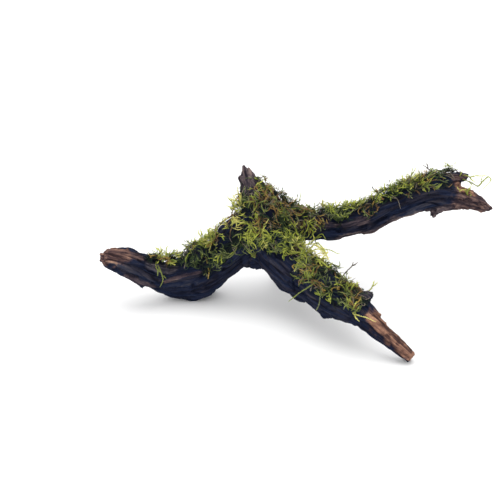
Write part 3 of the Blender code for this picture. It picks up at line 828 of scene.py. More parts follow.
@dataclass(frozen=True)
class WoodFinish:
    """Weathered, waterlogged wood: near-black outside, brown where it is worn, with painted shade in the
    furrows and painted highlight on the ridges.

    Attributes:
        deep, dark, ridge: Outside in the furrows, between furrows and ridges, and on the ridges: painted
            shade in the furrows and painted highlight on the ridges.
        umber_deep, umber: Brownish patches of the outside, in the furrows with painted shade and on the
            ridges.
        rust_deep, rust, rust_pale: Warm bare wood, from painted shade in the furrows to painted highlight on
            the ridges.
        ash_deep, ash: Grey bare wood, in the furrows with painted shade and on the ridges.
        umber_share: How strong the brownish patches are.
        fibres: Short fine streaks.
        streaks: Long broad streaks.
        pores: Short streaks that only show in the bump.
        patches: Where the outside is brownish.
        fibre_contrast: How much the fine streaks change the tone.
        streak_contrast: How much the broad streaks change the tone.
        bump_depth: Height of the finest unevenness.
        roughness: Plain roughness.
        specular: Specular level.
    """

    # The colours come in shaded and lit copies: painted shade in the furrows, painted highlight on the
    # ridges.
    deep: Colour = (0.0030, 0.0055, 0.0180)
    dark: Colour = (0.0075, 0.0130, 0.0360)
    ridge: Colour = (0.0400, 0.0420, 0.0580)
    umber_deep: Colour = (0.0100, 0.0075, 0.0095)
    umber: Colour = (0.0480, 0.0370, 0.0370)
    rust_deep: Colour = (0.0600, 0.0300, 0.0250)
    rust: Colour = (0.2300, 0.1200, 0.0820)
    rust_pale: Colour = (0.5200, 0.3000, 0.1850)
    ash_deep: Colour = (0.0330, 0.0300, 0.0370)
    ash: Colour = (0.2000, 0.1680, 0.1720)
    umber_share: float = 0.55
    fibres: Streaks = Streaks(0.07, 2.6, 3.0, 0.62)
    streaks: Streaks = Streaks(0.03, 0.75, 2.0, 0.6)
    pores: Streaks = Streaks(0.3, 1.6, 2.0, 0.5)
    patches: Streaks = Streaks(0.12, 0.28, 3.0, 0.6)
    fibre_contrast: float = 1.1
    streak_contrast: float = 0.8
    bump_depth: float = 0.5
    roughness: float = 0.7
    specular: float = 0.09

    def material(self) -> bpy.types.Material:
        """The wood's material, which reads the painted shade and highlight, the wear and the grain stored at
        its points.
        """
        graph = Graph("weathered_driftwood", self.roughness, self.specular)
        grain = graph.painted("grain", "Vector")
        joint = graph.painted("joint")
        relief_shade = graph.painted("relief_shade")
        bare = graph.painted("bare")
        rust = graph.painted("rust")
        fibres = graph.streaks(grain, self.fibres)
        streaks = graph.streaks(grain, self.streaks)
        pores = graph.streaks(grain, self.pores)
        fibres = (fibres - 0.5) * joint + 0.5
        streaks = (streaks - 0.5) * joint + 0.5
        lighter = (fibres - 0.5) * self.fibre_contrast
        # relief_shade is painted shade in furrows, cracks and pits and painted highlight on ridges; fibres
        # and streaks are the wood's own grain.
        tone = (relief_shade + lighter + (streaks - 0.5) * self.streak_contrast).held()
        # From painted shade in the furrows to painted highlight on the ridges, mixed with the grain's
        # streaks.
        outside = graph.mix(tone.eased(0.0, 0.45), self.deep, self.dark)
        outside = graph.mix(tone.eased(0.45, 1.0), outside, self.ridge)
        brown = graph.mix(tone.eased(0.0, 0.9), self.umber_deep, self.umber)
        patches = graph.streaks(grain, self.patches).eased(0.42, 0.68)
        outside = graph.mix(patches * self.umber_share, outside, brown)
        # Bare wood likewise runs from painted shade in the furrows to a painted highlight on the ridges.
        warm = graph.mix(tone.eased(-0.1, 0.4), self.rust_deep, self.rust)
        warm = graph.mix(tone.eased(0.35, 0.9), warm, self.rust_pale)
        grey = graph.mix(tone.eased(-0.1, 0.9), self.ash_deep, self.ash)
        worn = graph.mix(rust, grey, warm)
        share = (bare * (0.75 + tone * 0.6) + (streaks - 0.5) * bare * 0.9).held()
        graph.wear("Base Color", graph.mix(share, outside, worn))
        graph.wear("Roughness", (0.58 + fibres * 0.22 + bare * 0.1).held())
        graph.bump(fibres * 0.75 + pores * 0.25, self.bump_depth)
        return graph.material


@dataclass(frozen=True)
class Feature:
    """One kind of unevenness of the wood.

    Attributes:
        height: How far it stands out, in millimetres. Below 0 it sinks in.
        tone: How much lighter it is painted, as a share of the whole range: painted highlight where it stands
            out. Below 0 it is darker: painted shade where it sinks in.
        gain: How strongly its pattern counts.
        level: How much is taken off again, so that it both stands out and sinks in.
    """

    height: float
    tone: float
    gain: float = 1.0
    level: float = 0.0

    def rise(self, amount: Array) -> Array:
        """How far it rises where there is so much of it, in millimetres."""
        return self.height * (amount * self.gain - self.level)


@dataclass
class Driftwood:
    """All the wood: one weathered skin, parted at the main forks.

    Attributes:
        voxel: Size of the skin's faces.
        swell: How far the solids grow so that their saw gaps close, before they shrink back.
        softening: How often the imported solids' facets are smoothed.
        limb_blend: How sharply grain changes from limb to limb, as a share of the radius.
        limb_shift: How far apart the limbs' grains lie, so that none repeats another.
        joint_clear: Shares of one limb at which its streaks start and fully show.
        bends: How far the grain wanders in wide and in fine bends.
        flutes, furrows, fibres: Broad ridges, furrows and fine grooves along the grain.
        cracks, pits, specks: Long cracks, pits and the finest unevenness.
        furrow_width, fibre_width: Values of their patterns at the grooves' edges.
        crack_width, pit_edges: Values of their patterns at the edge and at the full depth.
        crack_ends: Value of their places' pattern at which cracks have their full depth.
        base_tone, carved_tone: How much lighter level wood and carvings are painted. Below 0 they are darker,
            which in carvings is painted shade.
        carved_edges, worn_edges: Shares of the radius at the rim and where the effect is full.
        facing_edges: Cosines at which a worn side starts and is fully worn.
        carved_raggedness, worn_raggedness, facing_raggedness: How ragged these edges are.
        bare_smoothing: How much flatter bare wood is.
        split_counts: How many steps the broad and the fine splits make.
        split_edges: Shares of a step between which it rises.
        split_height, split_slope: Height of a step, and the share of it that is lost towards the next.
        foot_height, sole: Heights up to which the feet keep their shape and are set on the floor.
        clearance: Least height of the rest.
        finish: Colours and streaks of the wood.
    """

    voxel: float = 0.5
    swell: float = 0.3
    softening: int = 7
    limb_blend: float = 0.14
    limb_shift: float = 60.0
    joint_clear: Range = (0.5, 0.8)
    bends: Range = (1.5, 0.5)
    # Each feature's second number paints light and shade: lighter where it stands out, painted shade where it
    # sinks in.
    flutes: Feature = Feature(1.1, 1.05, gain=3.0, level=0.75)
    furrows: Feature = Feature(0.75, 0.3, level=0.75)
    furrow_width: float = 0.24
    fibres: Feature = Feature(0.34, 0.15, level=0.7)
    fibre_width: float = 0.3
    cracks: Feature = Feature(-1.7, -0.6)
    crack_width: Range = (0.06, 0.01)
    crack_ends: float = 0.2
    pits: Feature = Feature(-0.9, -0.5)
    pit_edges: Range = (0.28, 0.5)
    specks: Feature = Feature(0.12, 0.12)
    base_tone: float = -0.1
    carved_tone: float = -0.8
    carved_edges: Range = (1.1, 0.3)
    carved_raggedness: float = 0.45
    worn_edges: Range = (1.25, 0.7)
    worn_raggedness: float = 0.55
    facing_edges: Range = (-0.05, 0.45)
    facing_raggedness: float = 0.3
    bare_smoothing: float = 0.45
    split_counts: Range = (4.5, 1.2)
    split_edges: Range = (0.36, 0.64)
    split_height: float = 0.45
    split_slope: float = 0.4
    foot_height: float = 0.9
    sole: float = 0.25
    clearance: float = 0.15
    finish: WoodFinish = WoodFinish()

    def build(self, nodes: dict[str, bpy.types.Object]) -> None:
        """Make the wood's skin, weather it and part it in its pieces.

        Args:
            nodes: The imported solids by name.
        """
        skin = self._skin(nodes)
        self._score(skin)
        middles = centres_of(skin)
        places = points_of(skin)
        normals = normals_of(skin)
        grain, joint, relief_shade, rise = self._weathering(places)
        bare, rust = self._wear(places, normals)
        rise = rise * (1.0 - self.bare_smoothing * bare) + bare * rust * self._splits(grain)
        move_points(skin, self._seated(places, places + normals * rise[:, None]))
        stored = {"grain": grain, "joint": joint, "relief_shade": relief_shade, "bare": bare, "rust": rust}
        for name, values in stored.items():
            paint_points(skin, name, values)
        skin.data.materials.append(self.finish.material())
        skin.data.shade_smooth()
        members = [part.holds(middles) for part in BRANCHES]
        self._piece(skin, TRUNK, ~np.any(members, axis=0))
        for part, own in zip(BRANCHES, members):
            self._piece(skin, part, own)
        bpy.data.objects.remove(skin, do_unlink=True)

    def _skin(self, nodes: dict[str, bpy.types.Object]) -> bpy.types.Object:
        """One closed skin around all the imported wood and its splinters."""
        wood = merged_copy("driftwood", [nodes[name] for name in WOOD_NODES])
        broken = [splinter.add() for splinter in SPLINTERS]
        select_only(wood, *broken)
        bpy.ops.object.join()
        make_skin(wood, self.swell, self.voxel, self.softening)
        return wood

    def _score(self, skin: bpy.types.Object) -> None:
        """Cut the skin's faces along each parting face, and leave them joined."""
        for part in BRANCHES:
            near = np.linalg.norm(centres_of(skin) - np.array(part.centre), axis=1) < part.reach
            edit_faces(skin, near)
            bpy.ops.mesh.bisect(plane_co=Vector(part.centre) * MM, plane_no=part.outward)
            bpy.ops.object.mode_set(mode="OBJECT")

    def _seated(self, places: Array, weathered: Array) -> Array:
        """Keep the feet's shape, set their soles on the floor and hold the rest clear of it.

        Args:
            places: The skin's points before weathering.
            weathered: The same points after it.

        Returns:
            The weathered points at their last heights.
        """
        height = places[:, 2]
        foot, rest = np.maximum(height, 0.0), np.maximum(weathered[:, 2], self.clearance)
        weathered[:, 2] = np.where(height < self.foot_height, foot, rest)
        weathered[height < self.sole, 2] = 0.0
        return weathered

    def _piece(self, skin: bpy.types.Object, part: Part, members: Array) -> None:
        """Take one part of the skin and close it where it is parted.

        Args:
            skin: The whole skin.
            part: The part that is wanted.
            members: True for each face of the skin that belongs to it.
        """
        piece = new_object(part.name, skin.data.copy())
        edit_faces(piece, ~members)
        bpy.ops.mesh.delete(type="FACE")
        bpy.ops.mesh.select_all(action="SELECT")
        bpy.ops.mesh.fill_holes(sides=0)
        bpy.ops.mesh.select_all(action="SELECT")
        bpy.ops.mesh.normals_make_consistent(inside=False)
        bpy.ops.object.mode_set(mode="OBJECT")
        smooth = np.arange(len(piece.data.polygons)) < members.sum()
        piece.data.polygons.foreach_set("use_smooth", smooth)
        LOG.info("%s: %d faces, %d of them close it", part.name, len(smooth), (~smooth).sum())
        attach(piece, "root")
        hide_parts(*part.nodes)

    def _weathering(self, places: Array) -> tuple[Array, Array, Array, Array]:
        """Work out the grain and how far each point stands in or out.

        Args:
            places: The skin's points in millimetres.

        Returns:
            Each point's place in the grain, how clear of a limb joint it is, its relief_shade, painted shade
            from 0 in a valley to painted highlight at 1 on the ridges, and how far it rises in millimetres.
        """
        found = [limb.grain_places(places) for limb in LIMBS]
        shares = np.stack([share for _, share in found])
        closeness = np.exp(-(shares - shares.min(0)) / self.limb_blend)
        weights = closeness / closeness.sum(0)
        leading = weights.argmax(0)
        grain = np.zeros_like(places)
        rise = np.zeros(len(places))
        relief_shade = np.zeros(len(places))
        for i, (limb, (own, _)) in enumerate(zip(LIMBS, found)):
            near = weights[i] > LEAST_WEIGHT
            limb_rise, limb_relief_shade = self._limb_relief(own[near], limb.seed)
            rise[near] += weights[i][near] * limb_rise
            relief_shade[near] += weights[i][near] * limb_relief_shade
            grain[leading == i] = own[leading == i] + self.limb_shift * limb.seed
        pits = smooth_step(*self.pit_edges, Pattern.PITS.at(places))
        specks = Pattern.SPECKS.at(places)
        rise += self.specks.rise(specks) + self.pits.rise(pits)
        # Painted shade in the pits, and specks a little lighter or darker.
        relief_shade += self.specks.tone * specks + self.pits.tone * pits
        ragged = self.carved_raggedness * Pattern.CARVED_EDGES.at(places)
        for carving in CARVINGS:
            cut = smooth_step(*self.carved_edges, carving.away(places) + ragged)
            rise -= carving.depth * cut
            # Painted shade in the carvings.
            relief_shade += self.carved_tone * cut
        joint = smooth_step(*self.joint_clear, weights.max(0))
        return grain, joint, np.clip(relief_shade, 0.0, 1.0), rise

    def _limb_relief(self, own: Array, seed: int) -> tuple[Array, Array]:
        """Ridges, furrows, fibres and cracks of one limb.

        Args:
            own: Places in the limb's grain.
            seed: The limb's seed.

        Returns:
            How far each point rises, in millimetres, and its relief_shade from 0 to 1: painted shade in
            furrows and cracks, painted highlight on ridges.
        """
        wide, fine = self.bends
        bend = wide * Pattern.WIDE_BENDS.at(own, seed) + fine * Pattern.FINE_BENDS.at(own, seed)
        own = own + bend[:, None] * (1.0, -1.0, 0.0)
        line = np.abs(Pattern.CRACK_LINES.at(own, seed))
        cracked = smooth_step(0.0, self.crack_ends, Pattern.CRACKED_PLACES.at(own, seed))
        amounts = (
            (self.flutes, np.abs(Pattern.FLUTES.at(own, seed))),
            (self.furrows, smooth_step(0.0, self.furrow_width, np.abs(Pattern.FURROWS.at(own, seed)))),
            (self.fibres, smooth_step(0.0, self.fibre_width, np.abs(Pattern.FIBRES.at(own, seed)))),
            (self.cracks, smooth_step(*self.crack_width, line) * cracked),
        )
        rise = sum(feature.rise(amount) for feature, amount in amounts)
        relief_shade = sum(feature.tone * amount for feature, amount in amounts)
        return rise, relief_shade + self.base_tone

    def _splits(self, grain: Array) -> Array:
        """Long steps of split wood, in millimetres, which show where the wood is bare and warm."""
        broad, fine = self.split_counts
        level = broad * Pattern.BROAD_SPLITS.at(grain) + fine * Pattern.FINE_SPLITS.at(grain)
        step = np.floor(level) + smooth_step(*self.split_edges, level - np.floor(level))
        return self.split_height * (step - level * self.split_slope)

    def _wear(self, places: Array, normals: Array) -> tuple[Array, Array]:
        """How bare each point of the wood is, and how warm the bare wood is."""
        ragged = Pattern.WORN_EDGES.at(places) + 0.5 * Pattern.FINE_WORN_EDGES.at(places)
        bare = np.zeros(len(places))
        warm = np.zeros(len(places))
        for worn in WORN:
            here = smooth_step(*self.worn_edges, worn.away(places) + self.worn_raggedness * ragged)
            if worn.facing:
                turned_to = normals @ unit(np.array(worn.facing)) + self.facing_raggedness * ragged
                here = here * smooth_step(*self.facing_edges, turned_to)
            here = here * worn.bare
            warm = np.where(here > bare, worn.rust, warm)
            bare = np.maximum(bare, here)
        return bare, warm


# Moss


@dataclass(frozen=True)
class MossFinish:
    """Soft fronds whose tint runs over the piece's own map.

    Attributes:
        roots: Colours at the root, by the frond's tint. Old fronds lie at both ends, green ones between; the
            near-black tints from 0.13 to 0.20 are painted shade for the undergrowth deep in the mat.
        tips: Colours at the tip, by the frond's tint: paler new growth, brightened by a painted glow of lit
            and backlit tips.
        roughness: Roughness.
        specular: Specular level.
    """

    # Near-black stops at 0.13 and 0.20: painted shade for the undergrowth deep in the mat.
    roots: tuple[tuple[float, Colour], ...] = (
        (0.00, (0.010, 0.008, 0.006)), (0.08, (0.034, 0.026, 0.018)), (0.13, (0.004, 0.006, 0.008)),
        (0.20, (0.006, 0.011, 0.011)), (0.34, (0.020, 0.032, 0.014)), (0.44, (0.049, 0.058, 0.028)),
        (0.56, (0.070, 0.092, 0.022)), (0.68, (0.115, 0.140, 0.032)), (0.78, (0.180, 0.177, 0.042)),
        (0.84, (0.135, 0.090, 0.030)), (0.92, (0.082, 0.048, 0.024)), (1.00, (0.044, 0.026, 0.014)),
    )
    # Bright tips: paler new growth and a painted glow of lit, backlit leaf tips.
    tips: tuple[tuple[float, Colour], ...] = (
        (0.00, (0.075, 0.056, 0.042)), (0.08, (0.290, 0.250, 0.195)), (0.13, (0.016, 0.022, 0.020)),
        (0.20, (0.026, 0.048, 0.030)), (0.34, (0.105, 0.148, 0.046)), (0.44, (0.240, 0.270, 0.125)),
        (0.56, (0.370, 0.440, 0.072)), (0.68, (0.630, 0.670, 0.120)), (0.78, (0.860, 0.820, 0.260)),
        (0.84, (0.560, 0.400, 0.100)), (0.92, (0.360, 0.225, 0.090)), (1.00, (0.170, 0.105, 0.060)),
    )
    roughness: float = 0.62
    specular: float = 0.07

    def material(self) -> bpy.types.Material:
        """The moss's material, which reads the piece's own map."""
        graph = Graph("java_moss_fronds", self.roughness, self.specular)
        place = graph.node("ShaderNodeUVMap", {"uv_map": BAKE_MAP}, {}, "UV")
        parts = graph.tree.nodes.new("ShaderNodeSeparateXYZ")
        graph.tree.links.new(place.link, parts.inputs[0])
        kind, up = Sock(graph, parts.outputs[0]), Sock(graph, parts.outputs[1])
        root = graph.node("ShaderNodeValToRGB", {"stops": self.roots}, {0: kind}, "Color")
        tip = graph.node("ShaderNodeValToRGB", {"stops": self.tips}, {0: kind}, "Color")
        # Lighter towards the tip: new growth and painted glow.
        graph.wear("Base Color", graph.mix(up.eased(-0.05, 0.75), root, tip))
        return graph.material


@dataclass(frozen=True)
class Leaves:
    """The make of a frond.

    Attributes:
        stem: Radius of the stem at its root.
        length: Length of a leaf.
        width: Width of a leaf over its length.
        fold: Depth of a leaf's keel over its length.
        spread: How far a leaf opens from the stem, in degrees.
        spacing: Distance between leaves on one side.
        step: Length of one piece of stem.
        taper: Share of the stem's radius that is gone at its tip.
        roll: How far a frond turns about its stem, in radians.
        unevenness: How unevenly the leaves open, in degrees.
        tilt: Least and greatest turn of a leaf out of the frond's plane, in degrees.
        sizes: Least and greatest size of a leaf over the usual.
        middle_size: Size of the leaves at a frond's ends, and how much larger they are between.
        widest: Where a leaf is widest, as a share of its length.
    """

    stem: float = 0.22
    length: float = 0.68
    width: float = 0.6
    fold: float = 0.16
    spread: float = 34.0
    spacing: float = 0.52
    step: float = 1.2
    taper: float = 0.6
    roll: float = 0.7
    unevenness: float = 9.0
    tilt: Range = (-30.0, 40.0)
    sizes: Range = (0.8, 1.15)
    middle_size: Range = (0.66, 0.5)
    widest: float = 0.42


@dataclass(frozen=True)
class Growth:
    """One way in which fronds grow.

    Attributes:
        density: Fronds in 100 square millimetres of mat.
        length: Shortest and longest frond.
        depth: Least and most share of the mat's thickness that the root is sunk by.
        lift: Least and most height of the tip over the mat.
        rise: Least and most angle at which it leaves the mat, in degrees.
        curl: How strongly it turns, in radians a millimetre.
        cling: How closely it follows the mat, from 0 to 1.
        tints: Middle and spread of its tint.
        old: Share of fronds that are old and brown.
        shoots: How many side shoots a frond bears, on average.
        top_only: True if it grows only where the mat faces up.
        leaves: The make of its fronds.
    """

    density: float
    length: Range
    depth: Range
    lift: Range
    rise: Range
    curl: float
    cling: float
    tints: Range
    old: float
    shoots: float = 0.6
    top_only: bool = False
    leaves: Leaves = Leaves()


# Near-black undergrowth: its dark tints are painted shade deep in the mat.
UNDERGROWTH = Growth(
    density=7.5, length=(6.0, 11.0), depth=(0.5, 1.0), lift=(-3.4, -1.6), rise=(0.0, 12.0), curl=0.12,
    cling=0.8, tints=(0.15, 0.03), old=0.12, shoots=0.2,
    leaves=Leaves(stem=0.3, length=1.0, spread=45.0, spacing=0.95, step=1.7),
)
# The tangle's dull olive tints are partly older moss and partly painted shade for its depth in the mat.
TANGLE = Growth(
    density=10.5, length=(6.0, 15.0), depth=(0.2, 0.8), lift=(-1.6, 1.2), rise=(0.0, 30.0), curl=0.13,
    cling=0.4, tints=(0.36, 0.12), old=0.30,
)
NEW_GROWTH = Growth(
    density=8.0, length=(5.0, 13.0), depth=(0.0, 0.5), lift=(0.4, 3.2), rise=(5.0, 50.0), curl=0.13,
    cling=0.22, tints=(0.62, 0.09), old=0.10,
)
SPRIGS = Growth(
    density=2.8, length=(4.0, 8.0), depth=(0.0, 0.3), lift=(2.5, 5.5), rise=(35.0, 80.0), curl=0.08,
    cling=0.1, tints=(0.64, 0.08), old=0.12, top_only=True,
)


BARE = (
    Strip(((-21.0, -8.0, 38.0), (-14.0, -16.0, 30.0), (-6.0, -22.0, 27.0), (4.0, -33.0, 26.0)), 7.2),
    Strip(((-22.0, -5.0, 43.0), (-16.0, -9.0, 43.0), (-12.0, -15.0, 36.0)), 5.2),
    Strip(((4.0, -33.0, 26.0), (15.0, -44.0, 24.0), (28.0, -53.0, 20.0), (38.0, -57.0, 17.0)), 6.6),
    Strip(((12.0, 20.0, 50.0), (24.0, 24.0, 52.0), (45.0, 28.0, 54.0), (60.0, 33.0, 57.0)), 6.8),
    Strip(((60.0, 33.0, 58.0), (75.0, 37.5, 62.0), (97.0, 43.0, 67.5), (108.0, 49.0, 69.5)), 6.6),
    Strip(((117.0, 59.0, 74.0), (126.0, 66.0, 77.0)), 6.0),
    Strip(((-42.5, 50.0, 93.0), (-39.5, 40.0, 87.5), (-38.0, 35.0, 84.0)), 7.2),
    Strip(((-125.0, 8.0, 32.0), (-110.0, 7.0, 31.0), (-97.0, 6.0, 25.0), (-82.0, 7.0, 21.0)), 6.4),
    Strip(((-82.0, 7.0, 21.0), (-66.0, 8.5, 19.0), (-55.0, 6.5, 22.0), (-47.0, 8.0, 29.0)), 6.6),
    Strip(((-56.0, 7.0, 30.0), (-45.0, 6.5, 36.0), (-35.0, 6.0, 38.0), (-27.0, -3.0, 40.0)), 6.6),
    Strip(((-24.0, 13.0, 72.5), (-23.0, 13.5, 73.0)), 2.6),
    Strip(((-60.0, 21.0, 60.0), (-53.5, 24.0, 66.0)), 5.2),
    Strip(((-25.5, -3.5, 33.0), (-22.5, -4.0, 28.0), (-18.0, -7.0, 25.0)), 6.5),
    Strip(((40.0, -35.0, 35.0), (46.0, -40.0, 37.0)), 5.0),
    Strip(((46.5, -44.0, 34.0), (48.3, -51.7, 31.5), (52.2, -58.3, 21.4)), 5.6),
    Strip(((44.0, -38.0, 30.0), (50.0, -47.0, 27.0)), 6.0),
    Strip(((19.4, 23.4, 56.5), (30.4, 26.5, 57.5), (41.3, 29.7, 60.0)), 3.6),
    Strip(((-20.0, -4.0, 46.0), (-12.0, -9.0, 46.0), (-9.0, -14.0, 42.0)), 4.5),
    Strip(((-1.0, -27.5, 35.0), (8.6, -35.5, 32.0), (16.4, -43.5, 31.0), (23.0, -49.8, 29.5)), 3.4),
    Strip((
        (23.0, -49.8, 29.5), (30.7, -55.0, 28.5), (38.0, -55.7, 30.5), (43.0, -50.0, 34.0),
        (44.0, -43.0, 36.5),
    ), 3.6),
    Strip(((-109.4, 8.7, 35.0), (-95.2, 8.2, 30.5), (-80.9, 7.2, 26.0)), 3.6),
    Strip(((59.8, 37.1, 66.1), (70.7, 39.6, 68.9), (85.3, 41.2, 69.8), (100.4, 46.7, 72.8)), 3.6),
    Strip(((46.0, -48.0, 28.0), (42.0, -58.0, 24.0), (50.0, -60.0, 15.0)), 6.0),
)


@dataclass(frozen=True)
class MossZone(Strip):
    """A part of the moss that is greener, duller, denser or, as painted shade, darker than the rest.

    Attributes:
        tint: How far its tint lies from the rest's.
        old: Times as many old fronds.
        thick: Times as many fronds.
        lift: How much higher its fronds end.
    """

    tint: float = 0.0
    old: float = 1.0
    thick: float = 1.0
    lift: float = 0.0

    def share(self, places: Array) -> Array:
        """How fully each place lies in the zone, from 0 to 1."""
        return smooth_step(1.25, 0.6, self.away(places))


ZONES = (
    MossZone(
        ((-24.0, 16.0, 72.0), (-10.0, 24.0, 69.0), (6.0, 20.0, 60.0)), 15.0, tint=-0.17, old=1.8, thick=1.5,
    ),
    MossZone(((-10.0, 29.0, 70.0), (8.0, 32.0, 63.0)), 8.0, tint=-0.05, thick=1.5, lift=2.5),
    MossZone(
        ((-34.0, 30.0, 86.0), (-24.0, 24.0, 80.0), (-16.0, 24.0, 75.0)), 10.0,
        tint=-0.05, old=1.6, thick=1.3, lift=1.6,
    ),
    MossZone(((-48.0, 26.0, 75.0), (-46.5, 30.0, 78.0)), 7.0, tint=0.04, thick=1.8, lift=3.0),
    MossZone(((-51.0, 22.0, 72.0), (-53.0, 18.0, 60.0)), 10.0, tint=0.12, old=0.7, thick=1.2),
    MossZone(((-46.0, 8.0, 56.0), (-14.0, 0.0, 54.0)), 11.0, tint=0.06, old=0.9, thick=1.2),
    # Painted shade: the moss low on the front of the club and crown, which lies in shade, is tinted darker.
    MossZone(
        ((-82.0, 8.0, 33.0), (-64.0, 7.0, 37.0), (-51.0, 5.3, 46.0), (-46.0, 6.0, 48.0)), 9.0,
        tint=-0.22, old=0.7, thick=0.62,
    ),
    MossZone(((-106.0, 13.0, 40.0), (-97.0, 14.0, 38.5)), 8.0, tint=0.04, old=0.8, thick=1.8, lift=3.0),
    MossZone(((-71.0, 20.0, 46.0), (-64.0, 21.0, 51.0)), 8.0, tint=0.08, old=0.8, thick=1.7, lift=3.2),
    MossZone(((11.0, -13.0, 52.0), (17.0, -21.0, 49.0)), 7.5, tint=0.16, old=0.6, thick=1.7, lift=3.0),
    MossZone(((2.0, -14.0, 46.0), (34.0, -44.0, 38.0)), 13.0, tint=-0.09, old=1.3, thick=0.6),
    MossZone(((14.5, -18.5, 46.5), (18.0, -22.5, 45.5)), 4.2, tint=-0.15, thick=0.2, lift=-1.5),
    MossZone(((17.0, -31.5, 43.0), (21.0, -36.0, 42.0)), 4.4, tint=-0.15, thick=0.2, lift=-1.5),
    MossZone(((24.0, -32.0, 47.0), (25.0, -33.0, 46.0)), 5.0, thick=1.4, lift=2.2),
    MossZone(((36.0, -40.0, 43.0), (40.0, -44.0, 41.0)), 6.5, tint=0.05, old=1.3, thick=1.5, lift=2.0),
    MossZone(((22.0, 35.0, 66.5), (37.0, 39.0, 66.5)), 8.0, tint=0.04, old=0.9, thick=2.0, lift=3.4),
    MossZone(((56.0, 42.0, 72.0), (68.0, 46.0, 76.0)), 8.0, tint=0.06, old=0.9, thick=1.6, lift=2.2),
    MossZone(((76.0, 44.0, 74.0), (112.0, 54.0, 78.0)), 12.0, tint=-0.14, old=1.5, thick=0.85),
    MossZone(
        ((20.0, 30.0, 62.0), (50.0, 38.0, 64.0), (72.0, 44.0, 70.0)), 12.0, tint=-0.11, old=1.3, thick=0.75,
    ),
    MossZone(
        ((-104.0, 13.0, 40.0), (-85.0, 12.0, 38.0), (-66.0, 18.0, 46.0)), 13.0,
        tint=-0.08, old=0.6, thick=0.8,
    ),
    MossZone(((75.0, 49.0, 80.0), (85.0, 51.0, 82.0)), 8.0, tint=0.1, thick=2.2, lift=4.4),
    MossZone(((106.0, 56.0, 80.0), (120.0, 62.0, 79.0)), 8.0, tint=-0.06, old=1.6, thick=0.6, lift=-1.2),
)


NO_MAT = -1
FAR = 99.0


class Ground:
    """The outer skin of wood and moss together, on which fronds grow.

    Each point of it has a normal, an area, the moss's thickness, the number of its mat, how far inside the
    moss's edge it lies and which way is further in.

    Attributes:
        search: How far off a solid is looked for.
        mat_gap: Distance from a moss solid within which a point belongs to its mat.
        raggedness: How ragged the bare strips' edges are, as a share of their radius.
    """

    search: float = 14.0
    mat_gap: float = 1.6
    raggedness: float = 0.25

    def __init__(self, nodes: dict[str, bpy.types.Object]) -> None:
        """Make the skin, find how thick the moss is and which mat each point belongs to.

        Args:
            nodes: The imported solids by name.
        """
        skin = merged_copy("ground", [nodes[name] for name in WOOD_NODES + MOSS_NODES])
        make_skin(skin, swell=0.8, voxel=1.25, softening=3)
        self.points = points_of(skin)
        self.normals = normals_of(skin)
        self.area = np.zeros(len(self.points))
        for face in skin.data.polygons:
            self.area[list(face.vertices)] += face.area / MM**2 / len(face.vertices)
        bpy.data.objects.remove(skin, do_unlink=True)
        self.tree = self._tree_of(np.arange(len(self.points)))
        self.thickness = self._gaps_to([nodes[name] for name in WOOD_NODES])
        gaps = np.stack([self._gaps_to([nodes[name]]) for name in MOSS_NODES])
        self.mat = np.where(gaps.min(0) < self.mat_gap, gaps.argmin(0), NO_MAT)
        ragged = self.raggedness * Pattern.MOSS_EDGES.at(self.points)
        for place in BARE:
            self.mat[place.away(self.points) + ragged < 1.0] = NO_MAT
        self.inside, self.inward = self._edge_of_mats()

    def _tree_of(self, members: Array) -> KDTree:
        """A search tree of some of the skin's points."""
        tree = KDTree(len(members))
        for i in members.tolist():
            tree.insert(self.points[i], i)
        tree.balance()
        return tree

    def _edge_of_mats(self) -> tuple[Array, Array]:
        """How far each point is inside the moss's edge, below 0 outside it, and which way is further in."""
        mossy = self.mat != NO_MAT
        trees = (self._tree_of(np.flatnonzero(mossy)), self._tree_of(np.flatnonzero(~mossy)))
        across = np.array([trees[int(own)].find(point)[1] for point, own in zip(self.points, mossy)])
        off = self.points - self.points[across]
        away = np.linalg.norm(off, axis=1)
        sign = np.where(mossy, 1.0, -1.0)
        return away * sign, unit(off) * sign[:, None]

    def _gaps_to(self, solids: list[bpy.types.Object]) -> Array:
        """Distance from each point of the skin to the nearest of these solids, in millimetres."""
        gaps = np.full(len(self.points), FAR)
        for solid in solids:
            corners = [vertex.co / MM for vertex in solid.data.vertices]
            tree = BVHTree.FromPolygons(corners, [face.vertices for face in solid.data.polygons])
            low, high = (np.array(corner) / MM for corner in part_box(solid.name))
            inside = (self.points > low - self.search) & (self.points < high + self.search)
            for i in np.flatnonzero(inside.all(1)):
                gap = tree.find_nearest(self.points[i])[3]
                gaps[i] = min(gaps[i], gap)
        return gaps

    def nearest(self, places: Array) -> Array:
        """The number of the skin's point nearest to each place."""
        return np.array([self.tree.find(place)[1] for place in places.tolist()])


@dataclass
class Sprouts:
    """Fronds that are about to grow, one a row.

    Attributes:
        places: Their roots.
        ahead: Their first directions.
        length: Their lengths.
        tint: Their tints.
        sunk: How far under the skin each starts.
        lift: How far over the skin each ends.
        rise: The angle at which each leaves the skin.
    """

    places: Array
    ahead: Array
    length: Array
    tint: Array
    sunk: Array
    lift: Array
    rise: Array

    def some(self, members: Array) -> "Sprouts":
        """Only these fronds."""
        return Sprouts(*(getattr(self, field.name)[members] for field in fields(self)))


